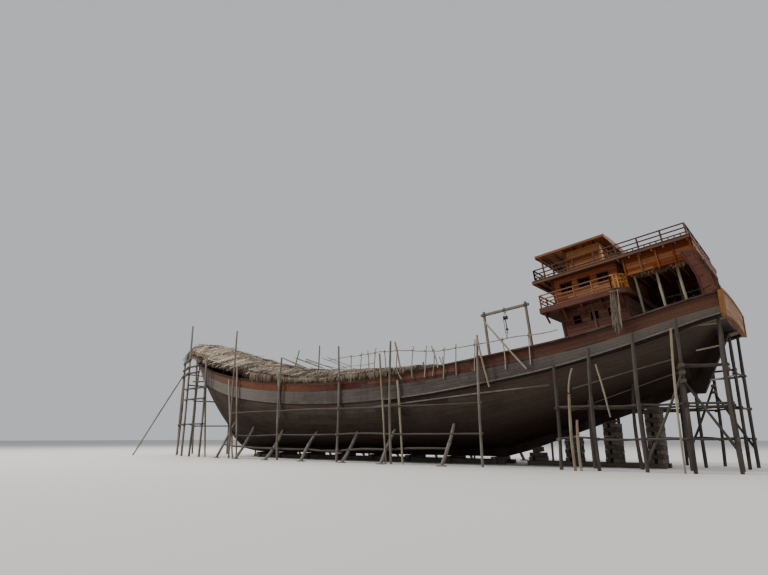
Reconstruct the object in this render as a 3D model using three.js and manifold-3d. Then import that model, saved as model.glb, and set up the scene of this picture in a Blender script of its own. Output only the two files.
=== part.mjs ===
import * as THREE from "three";
import { mergeVertices } from "three/addons/utils/BufferGeometryUtils.js";
import Module from "manifold-3d";

const wasm = await Module();
wasm.setup();

// A phinisi schooner on her building slip, as a 1:2 model: the ship is 50 m long, the model 25 m.
// Sizes are in metres of the ship, and metre turns them into millimetres of the model.
// +X is the bow, +Y port, +Z up, and z = 0 is the ground that the slip and the poles stand on.
const metre = 500;
const gap = 0.0008;
const swingGap = 0.012;
const sides = [["port", 1], ["starboard", -1]];

// Colours of the timber, as seen in daylight.
const colour = {
  lowerHull: 0x3b322d, wale: 0x6d6863, bulwark: 0x7a4028, capRail: 0x5d4637, keel: 0x453a33,
  transom: 0xb58a45, deck: 0x8a6f4e, cabin: 0x6b3a27, saloon: 0x9a5a2e,
  paleRail: 0xc79a4e, darkRail: 0x4a3029, roof: 0x9c6b3f, wheelhouse: 0x8c5330, door: 0x7d4c2c,
  thatch: 0x8d8171, pole: 0x77695b, darkPole: 0x4c4139, gear: 0x2e2c2b, block: 0x5a4a3c,
};

// Frame stations from the transom to the stem. A frame leans along the straight line from its keel
// point to its rail point. low is the top of the keel, high the top of the cap rail, half the
// half-breadth outside the wale, ledge the drop from the cap rail to the wale's lower edge, tuck how
// far the lower hull stands inside the wale there, and full its roundness, from 0, a vee, to 1.
const stationColumns = ["railX", "keelX", "low", "high", "half", "ledge", "tuck", "full"];
const stations = [
  [-25.0, -25.0, 7.4, 8.87, 3.95, 1.17, 1.7, 0.2],
  [-24.2, -24.2, 7.25, 8.7, 4.08, 1.19, 1.7, 0.2],
  [-22.6, -22.6, 4.7, 8.34, 4.28, 1.3, 0.85, 0.32],
  [-20.4, -20.4, 3.95, 7.8, 4.5, 1.36, 0.46, 0.45],
  [-18.4, -18.4, 3.29, 7.38, 4.66, 1.42, 0.28, 0.55],
  [-16.5, -16.5, 2.67, 7.06, 4.78, 1.5, 0.14, 0.64],
  [-14.3, -14.3, 1.94, 6.79, 4.93, 1.6, 0.07, 0.72],
  [-11.3, -11.3, 1.1, 6.43, 5.12, 1.64, 0.07, 0.8],
  [-8.0, -8.0, 0.95, 6.1, 5.21, 1.68, 0.07, 0.86],
  [-4.0, -4.0, 0.95, 5.87, 5.28, 1.72, 0.07, 0.9],
  [0.0, 0.0, 0.95, 5.82, 5.3, 1.75, 0.07, 0.9],
  [4.0, 4.0, 0.95, 5.93, 5.3, 1.75, 0.07, 0.88],
  [8.0, 7.8, 0.95, 6.24, 5.2, 1.75, 0.07, 0.82],
  [12.0, 11.0, 0.95, 6.75, 4.95, 1.75, 0.07, 0.72],
  [15.5, 13.6, 0.97, 7.42, 4.38, 1.75, 0.07, 0.6],
  [18.5, 15.6, 1.15, 8.15, 3.6, 1.75, 0.07, 0.5],
  [21.0, 17.2, 1.75, 8.78, 2.65, 1.75, 0.07, 0.42],
  [23.2, 18.7, 3.0, 9.28, 1.45, 1.75, 0.06, 0.35],
  [24.8, 19.9, 4.5, 9.62, 0.36, 1.75, 0.04, 0.3],
].map((row) => Object.fromEntries(row.map((value, column) => [stationColumns[column], value])));
const bulwarkHeight = 0.8;
const wallThickness = 0.28;
const capThickness = 0.1;
const capOverhang = 0.08;
const planksInset = 0.05;
const keelHalf = 0.24;
const keelSeatHalf = 0.2;
const floorToKeel = 0.45;

function lerp(from, to, share) {
  return from + (to - from) * share;
}

// The value of a station column at a place along the rail.
function atRail(column, x) {
  const next = Math.max(1, stations.findIndex((s) => s.railX >= x));
  const [a, b] = [stations[next - 1], stations[next]];
  return lerp(a[column], b[column], (x - a.railX) / (b.railX - a.railX));
}

function frameX(s, z) {
  return lerp(s.keelX, s.railX, (z - s.low) / (s.high - s.low));
}

const ledgeZ = (s) => s.high - s.ledge;
const deckZ = (s) => s.high - Math.max(0.85, Math.min(1.0, s.ledge - 0.42));
const waleTopZ = (s) => s.high - bulwarkHeight;
const wallOf = (s) => Math.min(wallThickness, 0.35 * s.half);

// Closed shapes: triangles become a solid whose faces point outwards.
function solidFrom(points, triangles) {
  const build = (tris) =>
    new wasm.Manifold(
      new wasm.Mesh({
        numProp: 3,
        vertProperties: Float32Array.from(points.flat()),
        triVerts: Uint32Array.from(tris.flat()),
      }),
    );
  const made = build(triangles);
  return made.volume() > 0 ? made : build(triangles.map(([a, b, c]) => [a, c, b]));
}

function solid(geometry) {
  const bare = geometry.index ? geometry.toNonIndexed() : geometry.clone();
  bare.deleteAttribute("normal");
  bare.deleteAttribute("uv");
  const welded = mergeVertices(bare, 1e-5);
  const position = welded.attributes.position;
  const points = Array.from({ length: position.count }, (_, i) => [
    position.getX(i),
    position.getY(i),
    position.getZ(i),
  ]);
  const index = welded.index.array;
  const triangles = Array.from({ length: index.length / 3 }, (_, i) => [
    index[3 * i],
    index[3 * i + 1],
    index[3 * i + 2],
  ]);
  return solidFrom(points, triangles.filter(([a, b, c]) => a !== b && b !== c && a !== c));
}

const join = (shapes) => shapes.reduce((whole, shape) => whole.add(shape));

// A skin over rings of equally many points, closed by a flat cap at each end.
function loft(rings) {
  const count = rings[0].length;
  const triangles = [];
  for (let r = 0; r + 1 < rings.length; r++) {
    for (let i = 0; i < count; i++) {
      const j = (i + 1) % count;
      const [a, b, c, d] = [r * count + i, r * count + j, (r + 1) * count + j, (r + 1) * count + i];
      triangles.push([a, b, c], [a, c, d]);
    }
  }
  const last = (rings.length - 1) * count;
  capOf(rings[0]).forEach(([a, b, c]) => triangles.push([a, c, b]));
  capOf(rings[rings.length - 1]).forEach(([a, b, c]) => triangles.push([last + a, last + b, last + c]));
  return solidFrom(rings.flat(), triangles);
}

// Triangles of a ring, wound as the ring is, in the flat view that shows it largest.
function capOf(ring) {
  const views = [[1, 2], [2, 0], [0, 1]].map(([u, v]) => ring.map((p) => new THREE.Vector2(p[u], p[v])));
  const areas = views.map((view) => THREE.ShapeUtils.area(view));
  const best = areas.findIndex((area) => Math.abs(area) === Math.max(...areas.map(Math.abs)));
  const faces = THREE.ShapeUtils.triangulateShape(views[best], []);
  return areas[best] > 0 ? faces : faces.map(([a, b, c]) => [a, c, b]);
}

function box(x0, x1, y0, y1, z0, z1) {
  const shape = new THREE.BoxGeometry(Math.abs(x1 - x0), Math.abs(y1 - y0), Math.abs(z1 - z0));
  return solid(shape.translate((x0 + x1) / 2, (y0 + y1) / 2, (z0 + z1) / 2));
}

function turnedTo(geometry, axis, from, to) {
  const start = new THREE.Vector3(...from);
  const run = new THREE.Vector3(...to).sub(start);
  const turn = new THREE.Quaternion().setFromUnitVectors(axis, run.clone().normalize());
  const middle = start.clone().addScaledVector(run, 0.5);
  return solid(geometry.applyQuaternion(turn).translate(middle.x, middle.y, middle.z));
}

function length(from, to) {
  return Math.hypot(...to.map((value, i) => value - from[i]));
}

function pole(from, to, radius, around = 6) {
  const shape = new THREE.CylinderGeometry(radius, radius, length(from, to), around);
  return turnedTo(shape, new THREE.Vector3(0, 1, 0), from, to);
}

// A sawn timber, wide across and deep up, laid mostly fore and aft.
function timber(from, to, wide, deep) {
  const shape = new THREE.BoxGeometry(length(from, to), wide, deep);
  return turnedTo(shape, new THREE.Vector3(1, 0, 0), from, to);
}

// A flat outline in the X-Z plane, as thick as its siding.
function sided(outline, half) {
  return loft([-half, half].map((y) => outline.map(([x, z]) => [x, y, z])));
}

// Port and starboard are the same shape, turned over.
const mirrored = (points, side) => points.map(([x, y, z]) => [x, side * y, z]);

const ship = new THREE.Group();

function piece(name, shape, tint, parent = ship) {
  const made = shape.getMesh();
  const geometry = new THREE.BufferGeometry();
  geometry.setAttribute("position", new THREE.BufferAttribute(made.vertProperties, 3));
  geometry.setIndex(new THREE.BufferAttribute(made.triVerts, 1));
  geometry.scale(metre, metre, metre).computeVertexNormals();
  const finish = new THREE.MeshStandardMaterial({ color: tint, roughness: 0.85, metalness: 0 });
  const mesh = new THREE.Mesh(geometry, finish);
  mesh.name = name;
  parent.add(mesh);
}

// Hull below the wale: each section is one curve from the keel to the ledge.
function sectionOf(s) {
  const [top, breadth] = [ledgeZ(s) - gap, s.half - s.tuck];
  const rise = top - s.low;
  const across = (share) => keelSeatHalf + (breadth - keelSeatHalf) * share;
  const curve = new THREE.CubicBezierCurve(
    new THREE.Vector2(keelSeatHalf, s.low),
    new THREE.Vector2(across(lerp(0.15, 0.85, s.full)), s.low + rise * lerp(0.3, 0.04, s.full)),
    new THREE.Vector2(across(lerp(0.65, 1.03, s.full)), top - rise * lerp(0.35, 0.55, s.full)),
    new THREE.Vector2(breadth, top),
  );
  return curve.getPoints(8).map(({ x: y, y: z }) => [frameX(s, z), y, z]);
}

function hullShape(outward = 0, down = 0, forward = 0) {
  const rings = stations.slice(1).map((s) => {
    const half = sectionOf(s).map(([x, y, z]) => [x + forward, y + outward, z - down]);
    return [...half, ...mirrored(half, -1).reverse()];
  });
  return loft(rings);
}

const hull = hullShape();
piece("hull_planking", hull, colour.lowerHull);

// Keel, stem and sternpost lie along the hull's lower edge.
const seat = stations.slice(1).map((s) => [s.keelX, s.low - 1.5 * gap]);
const bow = stations[stations.length - 1];
const keelEnds = [-22.6, 13.6];
const keelSeat = seat.filter(([x]) => x >= keelEnds[0] && x <= keelEnds[1]);
const keelFoot = [
  [keelEnds[1], floorToKeel],
  [-10.9, floorToKeel],
  [-12.5, 0.85],
  [-22.6, 4.2],
];
piece("keel", sided([...keelSeat, ...keelFoot], keelHalf), colour.keel);

const stemHead = [[24.95, 9.95], [25.4, 9.95]];
const stemFront = [
  [25.17, 9.6], [24.12, 8.21], [22.9, 6.97], [21.72, 5.87], [20.5, 4.55], [19.25, 3.1], [17.9, 1.7],
  [16.3, 0.75], [14.6, 0.5],
];
const stemHeel = keelEnds[1] + gap;
const stemSeat = [...seat.filter(([x]) => x >= keelEnds[1]), [bow.railX, bow.high - 1.5 * gap]];
stemSeat[0] = [stemHeel, stemSeat[0][1]];
const stemShape = sided([...stemSeat, ...stemHead, ...stemFront, [stemHeel, floorToKeel]], keelHalf);
const hullNear = [hullShape(gap, 0, 0), hullShape(0, gap, gap)];
piece("stem", hullNear.reduce((shape, near) => shape.subtract(near), stemShape), colour.keel);

const postSeat = [[keelEnds[0] - gap, 4.7 - 2 * gap], [-24.2 - gap, 7.25 - gap]];
const postBack = [[-24.8, 7.25 - gap], [-23.2, 4.05], [keelEnds[0] - gap, 4.05]];
piece("sternpost", sided([...postSeat, ...postBack], keelHalf), colour.keel);

// Deck structure: the closed block between the ledge and the deck, inside the wales.
const camber = 0.1;
function deckShape(raise = 0, deeper = 0) {
  return loft(
    stations.map((s) => {
      const half = s.half - wallOf(s) - gap;
      const [low, high] = [ledgeZ(s) - deeper, deckZ(s) + raise];
      const [xl, xh, xc] = [frameX(s, low), frameX(s, high), frameX(s, high + camber)];
      const crown = s === bow ? [xh, 0, high] : [xc, 0, high + camber];
      return [[xl, half, low], [xh, half, high], crown, [xh, -half, high], [xl, -half, low]];
    }),
  );
}
// The blocks where the two masts will step stand on it, level on top.
const mastX = [9.6, -8.9];
const partner = { half: 0.45, drop: 0.55 };
const partners = mastX.map((x) => {
  const top = atRail("high", x) - partner.drop;
  return box(x - partner.half, x + partner.half, -partner.half, partner.half, top - 0.8, top);
});
// The deck is three closed lengths that meet clear of the masts' blocks.
const deckSplits = [-7.5, 6.5];
const deckLengths = [["aft", -30, deckSplits[0]], ["waist", ...deckSplits], ["fore", deckSplits[1], 30]];
for (const [name, from, to] of deckLengths) {
  const within = box(from + gap / 2, to - gap / 2, -9, 9, -9, 20);
  piece(`main_deck_${name}`, join([deckShape(), ...partners]).intersect(within), colour.deck);
}

// Wales, bulwarks and cap rails run the whole length of each side. Aft of the cabin's front the wale
// stands on a ledge, because the hull falls away below it.
function strake(side, corners, from = 0, to = stations.length) {
  return loft(
    stations.slice(from, to).map((s) => mirrored(corners(s).map(([y, z]) => [frameX(s, z), y, z]), side)),
  );
}
const ledgeDeep = 0.14;
const overhangEnd = stations.findIndex((s) => s.railX > -16.6) + 1;
for (const [name, side] of sides) {
  const inner = (s) => s.half - wallOf(s);
  const wale = (s) => [
    [inner(s), ledgeZ(s)], [inner(s), deckZ(s)], [inner(s), waleTopZ(s)],
    [s.half, waleTopZ(s)], [s.half, ledgeZ(s)],
  ];
  const ledge = (s) => {
    const [low, under, over] = [ledgeZ(s) - ledgeDeep, ledgeZ(s) - gap, ledgeZ(s) + 0.02];
    const inside = Math.max(s.half - s.tuck + gap, s.half - 0.45);
    const step = Math.max(inner(s), inside + 0.002);
    const outer = s.half + 0.05;
    return [[inside, low], [inside, under], [step, under], [step, over], [outer, over], [outer, low]];
  };
  piece(`wale_${name}`, strake(side, wale).add(strake(side, ledge, 0, overhangEnd)), colour.wale);
  const bulwark = (s) => {
    const [low, high, outer] = [waleTopZ(s) + gap, s.high - capThickness - gap, s.half - planksInset];
    return [[inner(s), low], [inner(s), high], [outer, high], [outer, low]];
  };
  piece(`bulwark_${name}`, strake(side, bulwark), colour.bulwark);
  const cap = (s) => {
    const [low, outer] = [s.high - capThickness, s.half + capOverhang];
    const inside = inner(s) - Math.min(0.1, 0.2 * inner(s));
    return [[inside, low], [inside, s.high], [outer, s.high], [outer, low]];
  };
  piece(`cap_rail_${name}`, strake(side, cap), colour.capRail);
}

// Transom: a cambered plank wall across the ends of the wales and bulwarks.
const transomX = [-25.0 - gap, -25.16];
const transomHalf = 4.08;
const transomCamber = 0.16;
function arc(half, edge, middle, steps = 6) {
  return Array.from({ length: steps + 1 }, (_, i) => {
    const y = lerp(-half, half, i / steps);
    return [y, lerp(middle, edge, (y / half) ** 2)];
  });
}
const aft = stations[0];
const transomOutline = [
  ...arc(transomHalf, aft.high, aft.high + transomCamber),
  ...arc(transomHalf - 0.06, ledgeZ(aft) - 0.16, ledgeZ(aft) + 0.12).reverse(),
];
piece("transom", loft(transomX.map((x) => transomOutline.map(([y, z]) => [x, y, z]))), colour.transom);

// Deckhouse: its floors slope up aft with the sheer, so it stands in a turned group.
// Inside it x runs forward from the front of the gallery, and z up from the gallery floor.
const house = new THREE.Group();
house.position.set(-16 * metre, 0, 9.08 * metre);
house.rotation.y = THREE.MathUtils.degToRad(7.4);
ship.add(house);
const intoHouse = new THREE.Matrix4()
  .makeTranslation(-16, 0, 9.08)
  .multiply(new THREE.Matrix4().makeRotationY(house.rotation.y))
  .invert();
const deckInHouse = moved(deckShape(gap, 4), intoHouse);
const storey = { gallery: 0, ceiling: -0.3, upper: 1.86, upperUnder: 1.7, roof: 3.67 };
const wall = 0.12;

function moved(shape, matrix) {
  const made = shape.getMesh();
  const geometry = new THREE.BufferGeometry();
  geometry.setAttribute("position", new THREE.BufferAttribute(made.vertProperties, 3));
  geometry.setIndex(new THREE.BufferAttribute(made.triVerts, 1));
  return solid(geometry.applyMatrix4(matrix));
}

// A door in an athwartship wall. The wall's outer face looks forward (out 1) or aft (out -1); the
// hinge line stands proud of that face at y = hinge, and the door runs from there towards run.
const knuckle = { radius: 0.04, stand: 0.045, high: 0.1 };
function doorway({ face, out, hinge, run, width, height, sill, thick }) {
  const across = (from, to) => [hinge + run * from, hinge + run * to].sort((a, b) => a - b);
  const through = (from, to) => [face + out * from, face + out * to].sort((a, b) => a - b);
  const block = (depth, span, z0, z1) => box(...through(...depth), ...across(...span), z0, z1);
  const axisX = face + out * knuckle.stand;
  const opening = block([-thick - 0.1, 0.1], [0, width], sill, sill + height);
  const slab = block([-thick, 0], [swingGap, width - swingGap], sill + swingGap, sill + height - swingGap);
  const [door, frame] = [[slab], []];
  for (const share of [0.2, 0.8]) {
    const z = sill + height * share;
    door.push(block([-0.02, 0.05], [0.06, 0.35], z + gap, z + knuckle.high));
    door.push(block([0.001, 0.05], [0, 0.1], z + gap, z + knuckle.high));
    door.push(pole([axisX, hinge, z + gap], [axisX, hinge, z + knuckle.high], knuckle.radius, 8));
    frame.push(block([-0.02, 0.05], [-0.3, -0.06], z - knuckle.high, z - gap));
    frame.push(block([0.001, 0.05], [-0.1, 0], z - knuckle.high, z - gap));
    frame.push(pole([axisX, hinge, z - knuckle.high], [axisX, hinge, z - gap], knuckle.radius, 8));
  }
  return { opening, door: join(door), frame: join(frame) };
}

// Cabin on the main deck, below the gallery.
const cabin = { front: -0.75, aft: -4.6, half: 3.9 };
const cabinTop = storey.ceiling - gap;
const cabinBottom = -4.2;
const cabinWindows = [-1.7, -2.7, -3.7];
for (const [name, side] of sides) {
  const y = [side * (cabin.half - wall), side * cabin.half];
  const planks = box(cabin.aft, cabin.front, ...y, cabinBottom, cabinTop).subtract(deckInHouse);
  const lights = cabinWindows.map((x) => box(x - 0.22, x + 0.22, side * 3.6, side * 4.1, -1.25, -0.8));
  piece(`cabin_side_${name}`, planks.subtract(join(lights)), colour.cabin, house);
}
const inCabin = cabin.half - wall - gap;
const cabinDoor = doorway({
  face: cabin.front, out: 1, hinge: -0.45, run: 1, width: 0.9, height: 1.85, sill: -2.55, thick: wall,
});
const cabinFront = box(cabin.front - wall, cabin.front, -inCabin, inCabin, cabinBottom, cabinTop)
  .subtract(deckInHouse)
  .subtract(cabinDoor.opening)
  .add(cabinDoor.frame);
piece("cabin_front", cabinFront, colour.cabin, house);
piece("cabin_door", cabinDoor.door, colour.door, house);
const cabinAft = box(cabin.aft, cabin.aft + wall, -inCabin, inCabin, cabinBottom, cabinTop);
piece("cabin_aft", cabinAft.subtract(deckInHouse), colour.cabin, house);

// Gallery floor round the saloon, with round corners aft, and its rails.
const gallery = { front: 0.15, aft: -4.9, half: 4.6, corner: 0.9 };
const floorPlan = new THREE.Shape();
floorPlan.moveTo(gallery.front, -gallery.half);
floorPlan.lineTo(gallery.front, gallery.half);
floorPlan.lineTo(gallery.aft + gallery.corner, gallery.half);
floorPlan.quadraticCurveTo(gallery.aft, gallery.half, gallery.aft, gallery.half - gallery.corner);
floorPlan.lineTo(gallery.aft, gallery.corner - gallery.half);
floorPlan.quadraticCurveTo(gallery.aft, -gallery.half, gallery.aft + gallery.corner, -gallery.half);
const slabOptions = { depth: -storey.ceiling, bevelEnabled: false, curveSegments: 5 };
const floorSlab = new THREE.ExtrudeGeometry(floorPlan, slabOptions);
piece("gallery_floor", solid(floorSlab.translate(0, 0, storey.ceiling)), colour.saloon, house);

const railing = { top: 0.8, mid: 0.42, post: 0.045, bar: 0.035, inset: 0.09 };
function rail(points, floor, tops, spacing) {
  const parts = [];
  for (let i = 0; i + 1 < points.length; i++) {
    const [a, b] = [points[i], points[i + 1]];
    for (const z of tops) parts.push(pole([...a, floor + z], [...b, floor + z], railing.bar, 4));
    const posts = Math.max(1, Math.round(length(a, b) / spacing));
    for (let n = i === 0 ? 0 : 1; n <= posts; n++) {
      const [x, y] = a.map((value, k) => lerp(value, b[k], n / posts));
      parts.push(pole([x, y, floor + gap], [x, y, floor + tops[0] + 0.02], railing.post, 4));
    }
  }
  return join(parts);
}
const railY = gallery.half - railing.inset;
const galleryTops = [railing.top, railing.mid];
const railPortRoute = [
  [gallery.front - railing.inset, railY], [-4.1, railY], [-4.6, railY - 0.25], [-4.8, railY - 0.8],
];
const galleryRoute = [...railPortRoute.map(([x, y]) => [x, -y]).reverse(), ...railPortRoute];
piece("gallery_rail", rail(galleryRoute, storey.gallery, galleryTops, 1.5), colour.paleRail, house);

// Saloon on the gallery.
const saloon = { front: -0.55, aft: -4.4, half: 3.7 };
const [saloonLow, saloonTop] = [storey.gallery + gap, storey.upperUnder - gap];
const saloonWindows = [-1.4, -2.5, -3.6];
for (const [name, side] of sides) {
  const y = [side * (saloon.half - wall), side * saloon.half];
  const lights = saloonWindows.map((x) => box(x - 0.32, x + 0.32, side * 3.4, side * 3.9, 0.75, 1.35));
  const planks = box(saloon.aft, saloon.front, ...y, saloonLow, saloonTop);
  piece(`saloon_side_${name}`, planks.subtract(join(lights)), colour.saloon, house);
}
const inSaloon = saloon.half - wall - gap;
const saloonLights = [-2.4, -0.8, 0.8, 2.4].map((y) => box(-1, 0, y - 0.45, y + 0.45, 0.75, 1.35));
const saloonFront = box(saloon.front - wall, saloon.front, -inSaloon, inSaloon, saloonLow, saloonTop);
piece("saloon_front", saloonFront.subtract(join(saloonLights)), colour.saloon, house);
const saloonDoor = doorway({
  face: saloon.aft, out: -1, hinge: 0.4, run: -1, width: 0.8, height: 1.5, sill: 0.08, thick: wall,
});
const saloonAft = box(saloon.aft, saloon.aft + wall, -inSaloon, inSaloon, saloonLow, saloonTop)
  .subtract(saloonDoor.opening)
  .add(saloonDoor.frame);
piece("saloon_aft", saloonAft, colour.saloon, house);
piece("saloon_door", saloonDoor.door, colour.door, house);

// Upper deck, carried aft on posts, with deep plank sides hanging from it.
const upper = { front: 0.4, aft: -8.45, half: 4.25 };
const screen = { front: -4.95, low: 0.64, half: 4.0 };
const postRows = [-5.2, -6.3, -7.4, -8.25];
const aftPostY = 3.45;
const rowRail = { z: 0.75, deep: 0.16 };
for (const [name, side] of sides) {
  const y = [side * (screen.half - wall), side * screen.half];
  const panel = box(upper.aft, screen.front, ...y, screen.low, storey.upperUnder - gap);
  piece(`aft_screen_${name}`, panel, colour.saloon, house);
  const postY = side * aftPostY;
  const head = storey.upperUnder - gap;
  const legs = postRows.map((x) => pole([x, postY, cabinBottom], [x, postY, head], 0.1, 7));
  const beamEnds = [postRows[3], postRows[0]].map((x) => [x, postY, rowRail.z]);
  const beam = timber(...beamEnds, rowRail.deep, rowRail.deep);
  piece(`aft_posts_${name}`, join([...legs, beam]).subtract(deckInHouse), colour.pole, house);
}
const deckSlab = box(upper.aft, upper.front, -upper.half, upper.half, storey.upperUnder, storey.upper);
const endHalf = screen.half - wall - gap;
const aftPanel = box(upper.aft, upper.aft + 0.08, -endHalf, endHalf, 1.2, storey.upperUnder + 0.02);
piece("upper_deck", deckSlab.add(aftPanel), colour.saloon, house);

// Quarter boards: narrow curved planks from the upper deck's aft corners down to the cap rail.
const boardEdges = {
  aft: [[-25.0, 8.9], [-24.75, 9.8], [-24.35, 10.6], [-24.05, 11.2]],
  fore: [[-23.6, 11.2], [-23.9, 10.5], [-24.2, 9.7], [-24.4, 8.7]],
};
function quarterBoard(side) {
  const outline = [...boardEdges.aft, ...boardEdges.fore];
  const faces = [screen.half + gap, screen.half + 0.07];
  const plate = loft(faces.map((y) => outline.map(([x, z]) => [x, side * y, z])));
  const below = (s) => [[3, s.high - 1], [3, s.high + gap], [5, s.high + gap], [5, s.high - 1]];
  return plate.subtract(strake(side, below, 0, 3));
}
for (const [name, side] of sides) piece(`quarter_board_${name}`, quarterBoard(side), colour.bulwark);

const upperRailY = 3.95;
const upperTops = [0.78, 0.52, 0.26];
const [railFore, railAft] = [upper.front - 0.1, upper.aft + 0.12];
const upperCorners = [
  [railFore, upperRailY], [railAft, upperRailY], [railAft, -upperRailY], [railFore, -upperRailY],
];
const upperRoute = [...upperCorners, upperCorners[0]];
piece("upper_rail", rail(upperRoute, storey.upper, upperTops, 2.2), colour.darkRail, house);

// Wheelhouse with its porch and its flat, wide roof.
const wheel = { front: -1.36, aft: -3.52, half: 2.6 };
const roof = { front: 0.28, aft: -4.02, half: 3.2 };
const [wheelLow, wheelTop] = [storey.upper + gap, storey.roof - gap];
for (const [name, side] of sides) {
  const y = [side * (wheel.half - wall), side * wheel.half];
  const planks = box(wheel.aft, wheel.front, ...y, wheelLow, wheelTop);
  piece(`wheelhouse_side_${name}`, planks, colour.wheelhouse, house);
}
const inWheel = wheel.half - wall - gap;
const wheelDoor = doorway({
  face: wheel.front, out: 1, hinge: -0.4, run: 1, width: 0.8, height: 1.6, sill: 1.94, thick: wall,
});
const bridgeLights = [-1.65, 1.65].map((y) =>
  box(wheel.front - 0.3, wheel.front + 0.3, y - 0.6, y + 0.6, 2.75, 3.35),
);
const wheelFront = box(wheel.front - wall, wheel.front, -inWheel, inWheel, wheelLow, wheelTop)
  .subtract(join(bridgeLights))
  .subtract(wheelDoor.opening)
  .add(wheelDoor.frame);
piece("wheelhouse_front", wheelFront, colour.wheelhouse, house);
piece("wheelhouse_door", wheelDoor.door, colour.door, house);
const sternLights = [-1.7, -0.57, 0.57, 1.7].map((y) =>
  box(wheel.aft - 0.1, wheel.aft + 0.3, y - 0.42, y + 0.42, 2.6, 3.4),
);
const wheelAftWall = box(wheel.aft, wheel.aft + wall, -inWheel, inWheel, wheelLow, wheelTop);
const wheelAft = wheelAftWall.subtract(join(sternLights));
piece("wheelhouse_aft", wheelAft, colour.wheelhouse, house);
const porchPost = { x: 0.02, y: 2.9, radius: 0.06 };
const porch = [-porchPost.y, porchPost.y].map((y) =>
  pole([porchPost.x, y, wheelLow], [porchPost.x, y, wheelTop + 0.05], porchPost.radius),
);
const beamZ = wheelTop - 0.07;
const porchBeam = timber([porchPost.x, -porchPost.y, beamZ], [porchPost.x, porchPost.y, beamZ], 0.12, 0.12);
const roofEdge = [[roof.half, storey.roof], [-roof.half, storey.roof]];
const roofOutline = [...arc(roof.half, storey.roof + 0.13, storey.roof + 0.3), ...roofEdge];
const roofSlab = loft([roof.aft, roof.front].map((x) => roofOutline.map(([y, z]) => [x, y, z])));
piece("wheelhouse_roof", join([roofSlab, ...porch, porchBeam]), colour.roof, house);

// Hatch, with two lids hinged at its sides, under a gantry that carries a chain hoist.
const deckGear = new THREE.Group();
const gearPlace = [-11.85, 0, 5.5];
deckGear.position.set(...gearPlace.map((value) => value * metre));
deckGear.rotation.y = THREE.MathUtils.degToRad(5.6);
ship.add(deckGear);
const intoGear = new THREE.Matrix4()
  .makeTranslation(...gearPlace)
  .multiply(new THREE.Matrix4().makeRotationY(deckGear.rotation.y))
  .invert();
const deckInGear = moved(deckShape(gap, 4), intoGear);
const hatch = { long: 1.15, wide: 1.3, wall: 0.1, top: 0.5, lid: 0.08, hinge: [-0.75, 0.65] };
const axisY = hatch.wide + 0.06;
const axisZ = hatch.top + 0.04;
const pinHalf = 0.034;
const [wellLong, wellWide] = [hatch.long - hatch.wall, hatch.wide - hatch.wall];
const well = box(-wellLong, wellLong, -wellWide, wellWide, -0.7, 1);
const coaming = [box(-hatch.long, hatch.long, -hatch.wide, hatch.wide, -0.6, hatch.top).subtract(well)];
for (const [name, side] of sides) {
  const across = (from, to) => [side * from, side * to].sort((a, b) => a - b);
  const reach = hatch.long + 0.02;
  const lid = [
    box(-reach, reach, ...across(swingGap / 2, hatch.wide + 0.02), hatch.top + gap, hatch.top + hatch.lid),
  ];
  for (const x of hatch.hinge) {
    lid.push(box(x + gap, x + 0.1, ...across(hatch.wide - 0.05, axisY), axisZ - 0.02, axisZ + 0.02));
    lid.push(pole([x + gap, side * axisY, axisZ], [x + 0.1, side * axisY, axisZ], pinHalf, 8));
    const leaf = [x - 0.1, x - gap];
    const foot = across(hatch.wide - 0.02, axisY + 0.03);
    coaming.push(box(...leaf, ...foot, hatch.top - 0.12, hatch.top - 0.01));
    coaming.push(box(...leaf, ...across(axisY - 0.03, axisY + 0.03), hatch.top - 0.05, axisZ));
    coaming.push(pole([x - 0.1, side * axisY, axisZ], [x - gap, side * axisY, axisZ], pinHalf, 8));
  }
  piece(`hatch_lid_${name}`, join(lid), colour.door, deckGear);
}
piece("hatch_coaming", join(coaming).subtract(deckInGear), colour.deck, deckGear);

const gantry = { half: 1.62, top: 5.2, beam: 0.22 };
const posts = [-gantry.half, gantry.half].map((x) => box(x - 0.1, x + 0.1, -0.1, 0.1, -0.6, gantry.top));
const beamUnder = gantry.top - 0.35;
const beamHalf = gantry.half + 0.25;
const gantryBeam = box(-beamHalf, beamHalf, -0.11, 0.11, beamUnder, beamUnder + gantry.beam);
piece("gantry", join([...posts, gantryBeam]).subtract(deckInGear), colour.darkPole, deckGear);

// The hoist hangs on a square shackle that rides on the beam.
const shackle = { half: 0.17, top: beamUnder + gantry.beam + gap, thick: 0.05, wide: 0.09 };
const ringTop = shackle.top + shackle.thick;
const ringOuter = box(-shackle.wide, shackle.wide, -shackle.half, shackle.half, beamUnder - 0.12, ringTop);
const ringInner = box(-1, 1, -0.11 - swingGap, 0.11 + swingGap, beamUnder - 0.05, shackle.top);
const hoistParts = [
  ringOuter.subtract(ringInner),
  pole([0, 0, beamUnder - 0.4], [0, 0, beamUnder - 0.1], 0.03, 6),
  pole([-0.12, 0, beamUnder - 0.45], [0.12, 0, beamUnder - 0.45], 0.15, 10),
  pole([0, 0, beamUnder - 1.25], [0, 0, beamUnder - 0.5], 0.022, 6),
  pole([-0.05, 0, beamUnder - 1.3], [0.05, 0, beamUnder - 1.3], 0.09, 8),
];
piece("chain_hoist", join(hoistParts), colour.gear, deckGear);

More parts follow.
